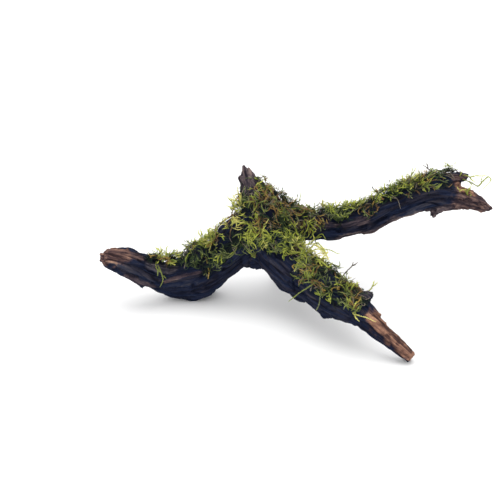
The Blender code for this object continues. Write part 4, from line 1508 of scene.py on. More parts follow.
@dataclass(frozen=True)
class Habit:
    """How java moss creeps, alike in every mat.

    Attributes:
        tuft: Fronds in one tuft.
        tuft_spread: How far apart the fronds of a tuft start.
        clumping: How much denser the moss is in some places than in others.
        top_band, side_band: Upward slopes over which sprigs, and all other fronds, start to grow.
        inset: Least distance of a tuft inside the mat's edge.
        deepest: Greatest depth of a root.
        own_way: How far a frond sets out in a direction of its own.
        flow: How strongly neighbours run the same way.
        sag: How strongly fronds on the sides set out downwards.
        edge_band: Distance inside the mat's edge within which fronds set out inwards.
        kept_in: Share of fronds that turn back at the mat's edge.
        turn_band, turn: Distances inside the edge between which they turn, and how strongly.
        bend_kept, bend_fresh: Shares of a frond's bend that are kept and made anew at each step.
        sway, droop: How much it wavers and droops at each step.
        lift_power: How late along its length it lifts off.
        cover: Least height of a frond over the wood.
        step_up: Greatest change of height at each step.
        way_kept: Share of the old direction in the next one.
        least_steps, bearing_steps: Steps of the shortest frond, and of the shortest that bears shoots.
        batches: Groups by length in which fronds grow.
    """

    tuft: int = 4
    tuft_spread: float = 1.3
    clumping: float = 1.3
    top_band: Range = (0.05, 0.5)
    side_band: Range = (-0.8, 0.0)
    inset: float = 0.3
    deepest: float = 7.0
    own_way: float = 0.6
    flow: float = 1.6
    sag: float = 0.45
    edge_band: float = 4.0
    kept_in: float = 0.88
    turn_band: Range = (2.2, -0.8)
    turn: float = 0.6
    bend_kept: float = 0.7
    bend_fresh: float = 0.9
    sway: float = 0.07
    droop: float = 0.035
    lift_power: float = 1.6
    cover: float = 0.5
    step_up: float = 0.9
    way_kept: float = 0.6
    least_steps: int = 4
    bearing_steps: int = 5
    batches: int = 4


@dataclass(frozen=True)
class Shoots:
    """How side shoots leave a frond.

    Attributes:
        turn: Least and greatest angle to the frond, in radians.
        share: Least and greatest length over the frond's.
        shortest: Least length.
        lift: Least and greatest height of the tip over the root.
        rise: Least and greatest angle at which it lifts off, in degrees.
        fresher: How much fresher its tint is.
        freshest: The freshest tint.
    """

    turn: Range = (0.6, 1.1)
    share: Range = (0.25, 0.5)
    shortest: float = 2.0
    lift: Range = (-0.3, 1.8)
    rise: Range = (-5.0, 35.0)
    fresher: float = 0.05
    freshest: float = 0.8


HABIT = Habit()
SHOOTS = Shoots()
FLOW = (Pattern.FLOW_X, Pattern.FLOW_Y, Pattern.FLOW_Z)

# Tints of green, brown and straw-coloured fronds, and the share of the old ones that is brown
GREENS = (0.15, 0.79)
BROWNS = (0.84, 0.99)
STRAWS = (0.02, 0.07, 0.09)
BROWN_SHARE = 0.55


@dataclass
class Gardener:
    """Lets the fronds of one mat grow.

    Attributes:
        ground: What they grow on.
        own: Numbers of the ground's points that belong to the mat.
        rng: Source of random numbers.
        fronds: Takes the finished fronds.
    """

    ground: Ground
    own: Array
    rng: np.random.Generator
    fronds: "FrondMesh"

    def sprouts(self, growth: Growth) -> Sprouts:
        """Choose where fronds start, in small tufts, and how each sets out.

        Args:
            growth: The way they grow.

        Returns:
            The fronds.
        """
        ground, own, rng = self.ground, self.own, self.rng
        clumps = 1.0 + HABIT.clumping * Pattern.MOSS_CLUMPS.at(ground.points[own])
        weight = ground.area[own] * np.clip(clumps, 0.2, None)
        band = HABIT.top_band if growth.top_only else HABIT.side_band
        weight *= smooth_step(*band, ground.normals[own, 2])
        for zone in ZONES:
            weight *= 1.0 + (zone.thick - 1.0) * zone.share(ground.points[own])
        count = round(ground.area[own].sum() / 100.0 * growth.density)
        centres = rng.choice(own, count // HABIT.tuft + 1, p=weight / weight.sum())
        tufts = np.repeat(np.arange(len(centres)), HABIT.tuft)[:count]
        roots = ground.nearest(ground.points[centres[tufts]] + rng.normal(0.0, HABIT.tuft_spread, (count, 3)))
        places, normals = ground.points[roots], ground.normals[roots]
        sunk = rng.uniform(*growth.depth, count) * np.minimum(ground.thickness[roots], HABIT.deepest)
        flow = np.stack([axis.at(places) for axis in FLOW], 1) * HABIT.flow
        shared = unit(rng.normal(size=(len(centres), 3)))[tufts]
        ahead = shared + HABIT.own_way * unit(rng.normal(size=(count, 3))) + flow
        ahead = unit(ahead - normals * dots(ahead, normals))
        down = np.array([0.0, 0.0, -1.0]) * (1.0 - np.abs(normals[:, 2:])) * HABIT.sag
        inwards = smooth_step(HABIT.edge_band, 0.0, ground.inside[roots])[:, None]
        return Sprouts(
            places=places - normals * sunk[:, None],
            ahead=unit(ahead + down + ground.inward[roots] * inwards),
            length=rng.uniform(*growth.length, count),
            tint=self._tints(growth, places, tufts),
            sunk=sunk,
            lift=rng.uniform(*growth.lift, count) + sum(zone.lift * zone.share(places) for zone in ZONES),
            rise=np.radians(rng.uniform(*growth.rise, count)),
        )

    def _tints(self, growth: Growth, places: Array, tufts: Array) -> Array:
        """Choose the tint of each frond on the moss's map, alike in tufts and patches.

        Args:
            growth: The way they grow.
            places: Where they start.
            tufts: The number of each frond's tuft.

        Returns:
            The tints, from 0 to 1.
        """
        rng = self.rng
        shift = 0.24 * Pattern.TINT_PATCHES.at(places) + 0.1 * Pattern.TINT_FLECKS.at(places)
        ageing = np.ones(len(places))
        for zone in ZONES:
            here = zone.share(places)
            shift += zone.tint * here
            ageing *= 1.0 + (zone.old - 1.0) * here
        tint = rng.normal(*growth.tints, tufts[-1] + 1)[tufts] + rng.normal(0.0, 0.05, len(places)) + shift
        patches = 1.0 + 2.2 * Pattern.BROWN_PATCHES.at(places)
        old = rng.random(tufts[-1] + 1)[tufts] < growth.old * ageing * patches
        is_brown = rng.random(len(places)) < BROWN_SHARE
        brown = rng.uniform(*BROWNS, len(places))
        aged = np.where(is_brown, brown, rng.choice(STRAWS, len(places)))
        return np.where(old, aged, np.clip(tint, *GREENS))

    def grow(self, growth: Growth, sprouts: Sprouts, shoots: float) -> None:
        """Let fronds run over the skin step by step.

        Args:
            growth: The way they grow.
            sprouts: Where and how they set out.
            shoots: How many side shoots each bears, on average.
        """
        ground, rng = self.ground, self.rng
        for members in np.array_split(np.argsort(sprouts.length), HABIT.batches):
            if not len(members):
                continue
            young = sprouts.some(members)
            steps = max(HABIT.least_steps, round(float(young.length.mean()) / growth.leaves.step))
            stride = (young.length / steps)[:, None]
            here = young.places
            nearest = ground.nearest(here)
            normal = ground.normals[nearest]
            way = turned(young.ahead, unit(np.cross(young.ahead, normal)), young.rise)
            bend = rng.normal(0.0, growth.curl, len(members))
            held = (rng.random(len(members)) < HABIT.kept_in).astype(float)
            path, facing = [here], [normal]
            for k in range(1, steps + 1):
                fresh = rng.normal(0.0, HABIT.bend_fresh * growth.curl, len(members))
                bend = HABIT.bend_kept * bend + fresh
                way = turned(way, normal, bend * stride[:, 0])
                edge = smooth_step(*HABIT.turn_band, ground.inside[nearest]) * held
                sway = rng.normal(0.0, HABIT.sway, way.shape)
                sway = sway + ground.inward[nearest] * edge[:, None] * HABIT.turn
                way = unit(way + sway - (0.0, 0.0, HABIT.droop))
                here = here + way * stride
                nearest = ground.nearest(here)
                normal = unit(0.5 * normal + ground.normals[nearest])
                height = dots(here - ground.points[nearest], ground.normals[nearest])
                share = k / steps
                wanted = young.lift * share**HABIT.lift_power - young.sunk * (1.0 - share)
                deepest = HABIT.cover - np.minimum(ground.thickness[nearest], HABIT.deepest)
                wanted = np.maximum(wanted, deepest)[:, None]
                pull = growth.cling + (1.0 - growth.cling) * (height < deepest[:, None])
                change = np.clip((wanted - height) * pull, -HABIT.step_up, HABIT.step_up)
                here = here + ground.normals[nearest] * change
                way = unit(HABIT.way_kept * way + (1.0 - HABIT.way_kept) * unit(here - path[-1]))
                path.append(here)
                facing.append(normal)
            paths, facings = np.stack(path, 1), np.stack(facing, 1)
            paths[:, 1:-1] = 0.5 * paths[:, 1:-1] + 0.25 * (paths[:, :-2] + paths[:, 2:])
            self.fronds.add(growth.leaves, paths, facings, young.tint)
            bearing = np.repeat(np.arange(len(members)), rng.poisson(shoots, len(members)))
            if len(bearing) and steps >= HABIT.bearing_steps:
                side = self._side_shoots(paths[bearing], facings[bearing], young.some(bearing))
                self.grow(growth, side, 0.0)

    def _side_shoots(self, paths: Array, facings: Array, bearers: Sprouts) -> Sprouts:
        """Let a short shoot set out from somewhere along each of these fronds.

        Args:
            paths: The fronds' points.
            facings: Directions away from the mat there.
            bearers: The fronds.

        Returns:
            The shoots.
        """
        ground, rng = self.ground, self.rng
        count = len(paths)
        each = np.arange(count)
        at = rng.integers(2, paths.shape[1] - 1, count)
        places = paths[each, at]
        along = unit(paths[each, at + 1] - paths[each, at - 1])
        turn = np.where(rng.random(count) < 0.5, -1.0, 1.0) * rng.uniform(*SHOOTS.turn, count)
        nearest = ground.nearest(places)
        height = dots(places - ground.points[nearest], ground.normals[nearest])[:, 0]
        green = bearers.tint < SHOOTS.freshest
        fresher = np.clip(bearers.tint + SHOOTS.fresher, 0.0, SHOOTS.freshest)
        return Sprouts(
            places=places,
            ahead=turned(along, unit(facings[each, at]), turn),
            length=np.maximum(bearers.length * rng.uniform(*SHOOTS.share, count), SHOOTS.shortest),
            tint=np.where(green, fresher, bearers.tint),
            sunk=-height,
            lift=height + rng.uniform(*SHOOTS.lift, count),
            rise=np.radians(rng.uniform(*SHOOTS.rise, count)),
        )


@dataclass(frozen=True)
class Stray:
    """A long frond that hangs or stands free of its mat.

    Attributes:
        tint: Its tint on the moss's map.
        line: Points that it runs through.
        shoots: Shares of its length where short side shoots leave it.
        leaves: The make of the frond.
    """

    tint: float
    line: tuple[Point, ...]
    shoots: tuple[float, ...] = ()
    leaves: Leaves = Leaves(stem=0.32, length=0.9, spread=36.0, spacing=0.55)


# A stem's sides in degrees, and a leaf's faces by the numbers of its base, two edges and tip
STEM_SIDES = (90.0, 210.0, 330.0)
LEAF_FACES = ((0, 3, 1), (0, 2, 3), (0, 1, 2), (3, 2, 1))
FEWEST_LEAVES = 6

# Where stems and leaves start on the map and how far they run up it, and how a leaf's corners lie there
MAP_EDGES = (0.004, 0.996)
STEM_ON_MAP = (0.02, 0.75)
STEM_WIDTH_ON_MAP = 0.002
LEAVES_ON_MAP = (0.08, 0.8)
LEAF_ON_MAP = ((0.0, -0.003, 0.003, 0.0), (-0.02, 0.01, 0.015, 0.06))
LEAF_FLICKER = 0.07

# Fronds that are set one by one: their roots, the way they face, and the turn and length of their shoots
ROOT_DEPTH = 0.8
LEAST_SPAN = 0.6
HAND_SET_FACING = (0.1, -0.6, 0.8)
SHOOT_TURN = 0.9
SHOOT_LENGTHS = (3.5, 6.0)
SHOOT_POINTS = 6


class FrondMesh:
    """Collects fronds and joins them in one mesh."""

    def __init__(self, rng: np.random.Generator) -> None:
        """Start with no frond.

        Args:
            rng: Source of random numbers.
        """
        self.rng = rng
        self.places: list[Array] = []
        self.faces: list[Array] = []
        self.map: list[Array] = []
        self.count = 0
        self.fronds = 0

    def _keep(self, places: Array, faces: Array, uv: Array) -> None:
        """Add points, triangles that number them from 0, and their places on the map."""
        self.places.append(places.reshape(-1, 3))
        self.faces.append(faces.reshape(-1, 3) + self.count)
        self.map.append(np.clip(uv, *MAP_EDGES).reshape(-1, 2))
        self.count += len(self.places[-1])

    def add(self, make: Leaves, paths: Array, facing: Array, tint: Array) -> None:
        """Add fronds with equally many points each.

        Args:
            make: The make of the fronds.
            paths: Points, as fronds by points by 3.
            facing: Directions away from the mat at these points.
            tint: Tint of each frond.
        """
        self.fronds += len(paths)
        ahead = unit(np.gradient(paths, axis=1))
        across = unit(np.cross(ahead, facing))
        up = np.cross(across, ahead)
        roll = self.rng.uniform(-make.roll, make.roll, len(paths))[:, None] * np.ones(paths.shape[1])
        across, up = turned(across, ahead, roll), turned(up, ahead, roll)
        self._add_stems(make, paths, across, up, tint)
        self._add_leaves(make, paths, ahead, across, up, tint)

    def _add_stems(self, make: Leaves, paths: Array, across: Array, up: Array, tint: Array) -> None:
        """Add closed three-sided stems that taper to points.

        Args:
            make: The make of the fronds.
            paths: Their points.
            across: Unit directions to the sides.
            up: Unit directions away from the mat.
            tint: Tint of each frond.
        """
        fronds, steps = paths.shape[:2]
        share = np.linspace(0.0, 1.0, steps)
        radius = make.stem * (1.0 - make.taper * share)
        rings = steps - 2
        blocks = [paths[:, :1]]
        for k in range(1, steps - 1):
            for angle in np.radians(STEM_SIDES):
                edge = across[:, k] * math.cos(angle) + up[:, k] * math.sin(angle)
                blocks.append((paths[:, k] + edge * radius[k])[:, None])
        blocks.append(paths[:, -1:])
        places = np.concatenate(blocks, 1)
        faces = []
        for s in range(3):
            n = (s + 1) % 3
            faces.append((0, 1 + n, 1 + s))
            for r in range(rings - 1):
                a, b = 1 + 3 * r, 4 + 3 * r
                faces += [(a + s, a + n, b + n), (a + s, b + n, b + s)]
            last = 1 + 3 * (rings - 1)
            faces.append((last + s, last + n, 1 + 3 * rings))
        per = places.shape[1]
        every = np.array(faces)[None] + (np.arange(fronds) * per)[:, None, None]
        up_share = np.concatenate([[0.0], np.repeat(share[1:-1], 3), [1.0]])
        sideways = np.concatenate([[0.0], np.tile([0.0, -1.0, 1.0], rings), [0.0]]) * STEM_WIDTH_ON_MAP
        uv = np.empty((fronds, per, 2))
        uv[..., 0] = tint[:, None] + sideways
        uv[..., 1] = STEM_ON_MAP[0] + STEM_ON_MAP[1] * up_share
        self._keep(places, every, uv)

    def _add_leaves(
        self, make: Leaves, paths: Array, ahead: Array, across: Array, up: Array, tint: Array
    ) -> None:
        """Add two rows of small closed, keeled leaves along each stem.

        Args:
            make: The make of the fronds.
            paths: Their points.
            ahead: Unit directions along them.
            across: Unit directions to the sides.
            up: Unit directions away from the mat.
            tint: Tint of each frond.
        """
        fronds, steps = paths.shape[:2]
        length = np.linalg.norm(np.diff(paths, axis=1), axis=2).sum(1).mean()
        count = max(FEWEST_LEAVES, 2 * round(length / make.spacing))
        t = (np.arange(count) + 0.7) / (count + 0.3) * (steps - 1)
        base = self._on(paths, t)
        out, lift, forward = (unit(self._on(values, t)) for values in (across, up, ahead))
        side = np.where(np.arange(count) % 2, 1.0, -1.0)[None, :, None]
        opened = np.radians(make.spread + self.rng.normal(0.0, make.unevenness, (fronds, count, 1)))
        tilt = np.radians(self.rng.uniform(*make.tilt, (fronds, count, 1)))
        share = (t / (steps - 1))[None, :, None]
        least, more = make.middle_size
        size = make.length * (least + more * np.sin(np.pi * np.clip(share * 0.9 + 0.12, 0.0, 1.0)))
        size = size * self.rng.uniform(*make.sizes, (fronds, count, 1))
        sideways = out * side * np.cos(tilt) + lift * np.sin(tilt)
        along = sideways * np.sin(opened) + forward * np.cos(opened)
        back = np.cross(sideways, forward) * side
        wide = np.cross(back, along)
        middle = base + along * size * make.widest + back * size * make.fold
        edge = wide * size * make.width * 0.5
        tip = base + along * size
        places = np.stack([base, middle + edge, middle - edge, tip], 2)
        corner = np.arange(fronds * count).reshape(fronds, count, 1, 1) * 4
        uv = np.empty((fronds, count, 4, 2))
        flicker = self.rng.uniform(-LEAF_FLICKER, LEAF_FLICKER, (fronds, count, 1))
        uv[..., 0] = tint[:, None, None] + np.array(LEAF_ON_MAP[0])
        uv[..., 1] = LEAVES_ON_MAP[0] + LEAVES_ON_MAP[1] * share + flicker + np.array(LEAF_ON_MAP[1])
        self._keep(places, corner + np.array(LEAF_FACES), uv)

    @staticmethod
    def _on(values: Array, t: Array) -> Array:
        """Values between a frond's points, at these shares of its steps."""
        t = np.clip(t, 0.0, values.shape[1] - 1.001)
        k = t.astype(int)
        f = (t - k)[None, :, None]
        return values[:, k] * (1.0 - f) + values[:, k + 1] * f

    def add_by_hand(self, stray: Stray, ground: Ground) -> None:
        """Add one long frond, rooted in the nearest ground, and the short shoots on it."""
        rows = np.array(stray.line)
        root = ground.nearest(rows[:1])[0]
        rows = np.vstack([ground.points[root] - ROOT_DEPTH * ground.normals[root], rows])
        rows = rows[np.linalg.norm(np.diff(rows, axis=0, append=rows[-1:] + FAR), axis=1) > LEAST_SPAN]
        spans = np.linalg.norm(np.diff(rows, axis=0), axis=1)
        steps = max(5, round(spans.sum() / stray.leaves.step))
        path = through(np.vstack([2 * rows[0] - rows[1], rows, 2 * rows[-1] - rows[-2]]), steps + 1)
        facing = np.tile(unit(np.array(HAND_SET_FACING)), (steps + 1, 1))
        self.add(stray.leaves, path[None], facing[None], np.array([stray.tint]))
        for i, share in enumerate(stray.shoots):
            k = int(share * (steps - 1)) + 1
            along = unit(path[min(k + 1, steps)] - path[k - 1])
            turn = (SHOOT_TURN if i % 2 else -SHOOT_TURN) + self.rng.uniform(-0.2, 0.2)
            way = turned(along[None], facing[:1], np.array([turn]))[0]
            reach = self.rng.uniform(*SHOOT_LENGTHS)
            ends = np.array([path[k] + way * reach * 0.5, path[k] + way * reach + along * reach * 0.3])
            shoot = through(np.vstack([path[k] - way, path[k], ends, ends[-1] + way]), SHOOT_POINTS)
            self.add(stray.leaves, shoot[None], facing[None, :SHOOT_POINTS], np.array([stray.tint]))

    def finished(self, name: str) -> bpy.types.Object:
        """All fronds so far as one object."""
        places, faces, uv = (np.concatenate(x) for x in (self.places, self.faces, self.map))
        LOG.info("%s: %d fronds, %d triangles", name, self.fronds, len(faces))
        return triangle_object(name, places, faces, uv)


@dataclass
class MossMat:
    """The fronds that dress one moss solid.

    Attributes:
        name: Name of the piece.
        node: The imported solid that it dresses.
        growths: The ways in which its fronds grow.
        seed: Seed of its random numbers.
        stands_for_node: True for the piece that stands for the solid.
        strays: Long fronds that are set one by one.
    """

    name: str
    node: str
    growths: tuple[Growth, ...]
    seed: int
    stands_for_node: bool = True
    strays: tuple[Stray, ...] = ()

    def build(self, ground: Ground, material: bpy.types.Material) -> None:
        """Grow the mat's fronds and join them in one mesh.

        Args:
            ground: What the fronds grow on.
            material: The moss's material.
        """
        rng = np.random.default_rng(self.seed)
        own = np.flatnonzero((ground.mat == MOSS_NODES.index(self.node)) & (ground.inside > HABIT.inset))
        gardener = Gardener(ground, own, rng, FrondMesh(rng))
        for growth in self.growths:
            gardener.grow(growth, gardener.sprouts(growth), growth.shoots)
        for stray in self.strays:
            gardener.fronds.add_by_hand(stray, ground)
        piece = gardener.fronds.finished(self.name)
        piece.data.materials.append(material)
        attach(piece, "root")
        if self.stands_for_node:
            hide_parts(self.node)


CROWN_STRAYS = (
    Stray(0.76, (
        (-42.9, 24.0, 70.9), (-46.4, 25.0, 74.4), (-48.6, 26.0, 77.9), (-50.7, 26.0, 81.0),
    ), (0.3, 0.6)),
    Stray(0.70, (
        (-45.0, 22.0, 70.3), (-48.6, 24.0, 72.5), (-50.7, 25.0, 75.2), (-51.4, 25.0, 79.1),
    ), (0.4, 0.7)),
    Stray(0.80, (
        (-41.5, 28.0, 73.7), (-45.0, 29.0, 77.2), (-47.2, 29.0, 79.6), (-49.3, 28.0, 78.5),
    ), (0.4,)),
    Stray(0.72, (
        (-44.3, 21.0, 67.7), (-47.9, 22.0, 69.5), (-50.0, 23.0, 72.2), (-50.7, 22.0, 69.5),
    ), (0.3, 0.6)),
    Stray(0.86, ((-42.2, 25.0, 72.0), (-45.0, 27.0, 75.0), (-46.4, 27.0, 77.4), (-47.9, 26.0, 75.5))),
    Stray(0.95, (
        (-42.2, 10.4, 45.1), (-35.1, 8.4, 43.7), (-29.4, 6.4, 44.8), (-22.3, 6.4, 46.4),
        (-8.2, 5.4, 48.5), (-1.1, 6.4, 49.6),
    ), (0.3, 0.6)),
    Stray(0.92, ((-29.4, 10.4, 51.5), (-25.8, 7.4, 47.5), (-25.1, 6.4, 42.4), (-22.2, 6.4, 39.1)), (0.5,)),
    Stray(0.55, ((-3.5, 30.4, 70.2), (-2.1, 30.4, 75.7), (-1.6, 29.4, 80.9))),
    Stray(0.60, ((5.4, 22.4, 42.8), (9.6, 22.4, 47.7), (13.8, 22.4, 50.9), (16.9, 22.4, 46.0)), (0.5,)),
)
CLUB_STRAYS = (
    Stray(0.60, ((-102.4, 12.0, 37.8), (-105.1, 12.0, 41.0), (-107.9, 12.0, 43.8))),
    Stray(0.70, ((-100.2, 13.0, 38.8), (-103.0, 13.0, 42.9), (-105.7, 13.0, 45.3)), (0.5,)),
    Stray(0.64, ((-97.4, 13.0, 39.7), (-97.9, 13.0, 43.7), (-96.4, 13.0, 46.1))),
    Stray(0.72, ((-71.7, 20.0, 47.3), (-74.4, 20.0, 52.2), (-75.1, 20.0, 55.4)), (0.5,)),
    Stray(0.66, ((-67.3, 20.0, 49.7), (-68.0, 20.0, 54.6), (-65.8, 20.0, 57.8)), (0.5,)),
    Stray(0.85, ((-69.4, 10.4, 37.8), (-68.0, 8.4, 32.3), (-67.3, 6.4, 27.7), (-68.1, 6.4, 22.8))),
    Stray(0.50, (
        (-103.5, 5.4, 34.0), (-101.4, 3.4, 30.2), (-100.2, 3.4, 23.7), (-102.6, 4.4, 17.3),
    ), (0.3, 0.6)),
)
ARM_STRAYS = (
    Stray(0.62, (
        (120.1, 60.5, 76.1), (125.1, 57.5, 75.0), (129.6, 56.5, 73.0), (132.9, 56.5, 77.1),
        (136.2, 56.5, 80.3), (138.4, 55.5, 78.3), (135.0, 54.5, 74.0), (130.1, 53.5, 69.6),
    ), (0.2, 0.45)),
    Stray(0.66, (
        (120.6, 61.5, 79.5), (123.7, 59.5, 78.9), (127.1, 58.5, 80.2), (131.3, 57.5, 80.6),
        (136.3, 57.5, 81.4),
    ), (0.4,)),
    Stray(0.60, ((116.8, 62.5, 78.5), (117.3, 61.5, 80.8), (118.3, 60.5, 84.1))),
    Stray(0.10, ((95.3, 58.5, 83.4), (91.4, 58.5, 86.6), (88.4, 58.5, 89.0)), (0.6,)),
    Stray(0.60, ((79.4, 52.5, 81.3), (79.8, 52.5, 86.1), (80.2, 51.5, 90.5)), (0.5,)),
    Stray(0.68, ((20.7, 36.5, 63.2), (19.9, 36.5, 67.2), (17.6, 36.5, 70.4)), (0.45,)),
    Stray(0.72, ((23.7, 37.0, 63.0), (24.2, 37.0, 67.8), (23.4, 37.0, 71.8)), (0.45,)),
    Stray(0.62, ((28.0, 37.5, 63.5), (29.3, 37.5, 67.5), (32.1, 37.5, 70.8)), (0.45,)),
    Stray(0.70, ((32.4, 38.0, 63.3), (32.3, 38.0, 68.1), (30.7, 38.0, 72.1)), (0.45,)),
    Stray(0.66, ((35.3, 38.5, 63.8), (36.6, 38.5, 67.9), (39.4, 38.5, 71.1)), (0.45,)),
    Stray(0.60, ((39.0, 39.0, 64.4), (41.0, 39.0, 67.6), (43.9, 39.0, 69.2)), (0.45,)),
    Stray(0.72, ((42.6, 39.5, 65.0), (42.5, 39.5, 69.0), (40.9, 39.5, 71.4)), (0.45,)),
    Stray(0.64, ((73.7, 50.5, 75.8), (71.3, 50.5, 79.0), (68.3, 50.5, 80.6)), (0.45,)),
    Stray(0.72, ((75.9, 51.0, 76.4), (74.1, 51.0, 81.2), (71.0, 51.0, 84.4)), (0.45,)),
    Stray(0.68, ((78.1, 51.5, 77.0), (77.8, 51.5, 81.8), (76.1, 51.5, 86.5)), (0.45,)),
    Stray(0.74, ((80.3, 52.0, 77.5), (81.5, 52.0, 82.3), (84.1, 52.0, 86.3)), (0.45,)),
    Stray(0.62, ((82.5, 52.5, 78.1), (84.5, 52.5, 81.3), (87.3, 52.5, 83.7)), (0.45,)),
    Stray(0.60, ((65.6, 48.5, 73.5), (63.9, 48.5, 77.6), (65.2, 48.5, 80.8)), (0.45,)),
    Stray(0.66, ((60.4, 47.0, 71.0), (58.1, 47.0, 75.0), (55.1, 47.0, 76.6)), (0.45,)),
)
LEG_STRAYS = (
    Stray(0.76, ((4.8, -4.0, 50.4), (8.9, -5.0, 53.3), (13.0, -7.0, 52.7), (16.4, -10.0, 49.6)), (0.3, 0.6)),
    Stray(0.80, (
        (6.1, -8.0, 48.5), (10.8, -9.0, 52.2), (14.9, -12.0, 51.5), (17.6, -15.0, 48.4),
    ), (0.3, 0.6)),
    Stray(0.74, ((8.6, -14.0, 47.8), (12.1, -13.0, 50.4), (14.8, -12.0, 53.0), (16.1, -12.0, 56.2)), (0.5,)),
    Stray(0.66, ((8.0, -12.0, 49.1), (11.9, -16.0, 48.9), (16.0, -19.0, 46.6), (18.0, -19.0, 48.2)), (0.4,)),
    Stray(0.78, ((3.5, -2.0, 50.9), (7.7, 0.0, 53.8), (10.5, -1.0, 52.7), (11.8, -5.0, 50.1)), (0.5,)),
    Stray(0.70, (
        (8.9, 8.0, 51.2), (11.6, 6.0, 50.6), (14.4, 4.0, 47.7), (16.4, 0.0, 45.0), (16.8, -6.0, 43.5),
    ), (0.5,)),
    Stray(0.74, ((0.6, 12.0, 45.9), (4.2, 14.0, 48.0), (7.8, 15.0, 50.7), (7.0, 15.0, 53.9)), (0.4,)),
    Stray(0.46, (
        (16.2, -14.0, 47.8), (21.0, -16.0, 46.5), (23.4, -17.0, 46.0), (24.4, -17.0, 47.5),
        (23.6, -17.0, 50.2),
    )),
    Stray(0.50, (
        (10.9, -27.0, 43.2), (6.0, -30.0, 40.1), (1.9, -31.0, 37.2), (-3.5, -30.0, 32.6),
        (-8.2, -29.0, 27.7), (-11.2, -28.0, 24.3),
    ), (0.35,)),
    Stray(0.44, (
        (11.0, -38.0, 41.5), (10.0, -41.0, 37.8), (9.4, -42.0, 32.9), (8.5, -42.0, 28.1),
        (6.9, -41.0, 24.4),
    )),
    Stray(0.77, (
        (30.9, -59.0, 32.8), (35.4, -61.0, 32.4), (40.1, -62.0, 31.5), (46.1, -63.0, 28.9),
    ), (0.3,)),
    Stray(0.62, (
        (9.6, 20.4, 44.6), (13.9, 18.4, 40.8), (19.6, 16.4, 41.1), (23.8, 14.4, 39.7),
        (26.6, 13.4, 39.4),
    ), (0.4,)),
    Stray(0.05, (
        (25.7, -21.6, 40.1), (28.9, -22.6, 45.4), (32.1, -23.6, 49.9), (32.7, -23.6, 53.0),
    ), (0.7,)),
    Stray(0.70, (
        (40.2, -33.5, 35.1), (44.0, -35.5, 37.8), (45.8, -36.5, 42.3), (46.3, -36.5, 45.4),
    ), (0.5,)),
    Stray(0.66, ((34.9, -31.6, 33.9), (35.3, -32.5, 39.2), (35.1, -33.5, 43.7))),
    Stray(0.80, ((-0.4, -7.6, 26.6), (-5.5, -7.6, 31.5), (-9.7, -7.6, 32.3), (-12.5, -7.6, 30.7)), (0.4,)),
)

MATS = (
    MossMat("crown_moss_undergrowth", "moss_crown", (UNDERGROWTH, SPRIGS), 101),
    MossMat("crown_moss_tangle", "moss_crown", (TANGLE,), 106, False),
    MossMat("crown_moss_new_growth", "moss_crown", (NEW_GROWTH,), 102, False, CROWN_STRAYS),
    MossMat("club_moss", "moss_club", (UNDERGROWTH, TANGLE, NEW_GROWTH, SPRIGS), 103, True, CLUB_STRAYS),
    MossMat("arm_moss", "moss_arm", (UNDERGROWTH, TANGLE, NEW_GROWTH, SPRIGS), 104, True, ARM_STRAYS),
    MossMat("leg_moss", "moss_leg", (UNDERGROWTH, TANGLE), 105),
    MossMat("leg_moss_new_growth", "moss_leg", (NEW_GROWTH, SPRIGS), 107, False, LEG_STRAYS),
)


# Studio


@dataclass(frozen=True)
class SoftLight:
    """A square soft light.

    Attributes:
        name: Its name.
        place: Where it hangs, in metres.
        aim: Point that it shines at, in metres.
        size: Side of the square in metres.
        power: Power in watts.
    """

    name: str
    place: Point
    aim: Point
    size: float
    power: float

    def hang(self) -> None:
        """Add it to the scene."""
        data = bpy.data.lights.new(self.name, "AREA")
        data.size = self.size
        data.energy = self.power
        light = new_object(self.name, data)
        light.location = self.place
        light.rotation_euler = (Vector(self.aim) - Vector(self.place)).to_track_quat("-Z", "Y").to_euler()


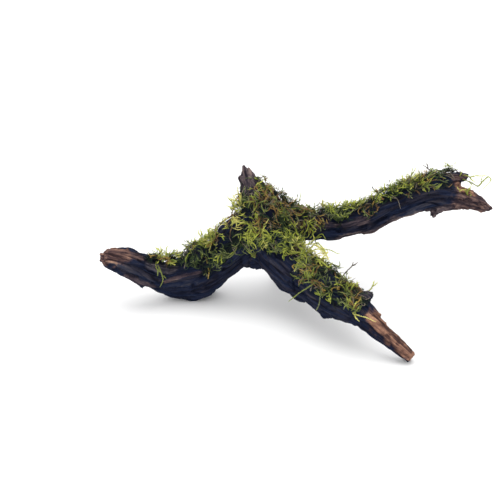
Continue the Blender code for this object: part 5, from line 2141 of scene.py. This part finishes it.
@dataclass(frozen=True)
class Studio:
    """A plain pale floor, soft light from above and the camera at the photograph's angle.

    Attributes:
        target: Point that the camera looks at.
        distance: How far the camera is from it.
        elevation: How far above the horizon the camera is, in degrees.
        lens: Focal length.
        sensor: Width of the camera's sensor.
        floor_size: Side of the floor in metres.
        floor_grey: How pale the floor is.
        lights: The soft lights.
        daylight: How strong the even white light from all sides is.
    """

    target: Point = (-37.9, 18.45, 40.0)
    distance: float = 900.0
    elevation: float = 28.0
    lens: float = 90.0
    sensor: float = 36.0
    floor_size: float = 8.0
    floor_grey: float = 0.86
    lights: tuple[SoftLight, ...] = (
        SoftLight("overhead_softbox", (0.05, 0.35, 1.25), (0.0, 0.0, 0.0), 1.5, 12.0),
        SoftLight("front_fill", (-0.7, -1.1, 0.9), (0.0, 0.0, 0.04), 1.2, 5.0),
    )
    daylight: float = 1.12

    def build(self) -> None:
        """Set up camera, floor and light."""
        self._camera()
        self._floor()
        for light in self.lights:
            light.hang()
        world = bpy.data.worlds.new("white_room")
        bpy.context.scene.world = world
        world.use_nodes = True
        background = world.node_tree.nodes["Background"]
        background.inputs["Color"].default_value = (1.0, 1.0, 1.0, 1.0)
        background.inputs["Strength"].default_value = self.daylight
        bpy.context.scene.view_settings.view_transform = "Standard"

    def _camera(self) -> None:
        """Put the camera at the photograph's angle."""
        tilt = math.radians(self.elevation)
        back = Vector((0.0, -math.cos(tilt), math.sin(tilt))) * self.distance
        data = bpy.data.cameras.new("photo_camera")
        data.lens = self.lens
        data.sensor_width = self.sensor
        data.clip_start = 0.01
        camera = new_object("photo_camera", data)
        camera.location = (Vector(self.target) + back) * MM
        camera.rotation_euler = (math.radians(90.0) - tilt, 0.0, 0.0)
        bpy.context.scene.camera = camera

    def _floor(self) -> None:
        """Lay the plain pale floor under the feet."""
        bpy.ops.object.select_all(action="DESELECT")
        bpy.ops.mesh.primitive_plane_add(size=self.floor_size, location=(0.0, 0.0, 0.0))
        floor = bpy.context.active_object
        floor.name = "pale_floor"
        graph = Graph("pale_floor", 0.85, 0.1)
        graph.shader.inputs["Base Color"].default_value = (*[self.floor_grey] * 3, 1.0)
        floor.data.materials.append(graph.material)


def main() -> None:
    """Build the studio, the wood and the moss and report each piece."""
    logging.basicConfig(level=logging.INFO, format="%(name)s: %(message)s")
    Studio().build()
    ground = Ground(frame["nodes"])
    LOG.info("ground: %d points", len(ground.points))
    Driftwood().build(frame["nodes"])
    fronds = MossFinish().material()
    for mat in MATS:
        mat.build(ground, fronds)


if __name__ == "__main__":
    main()
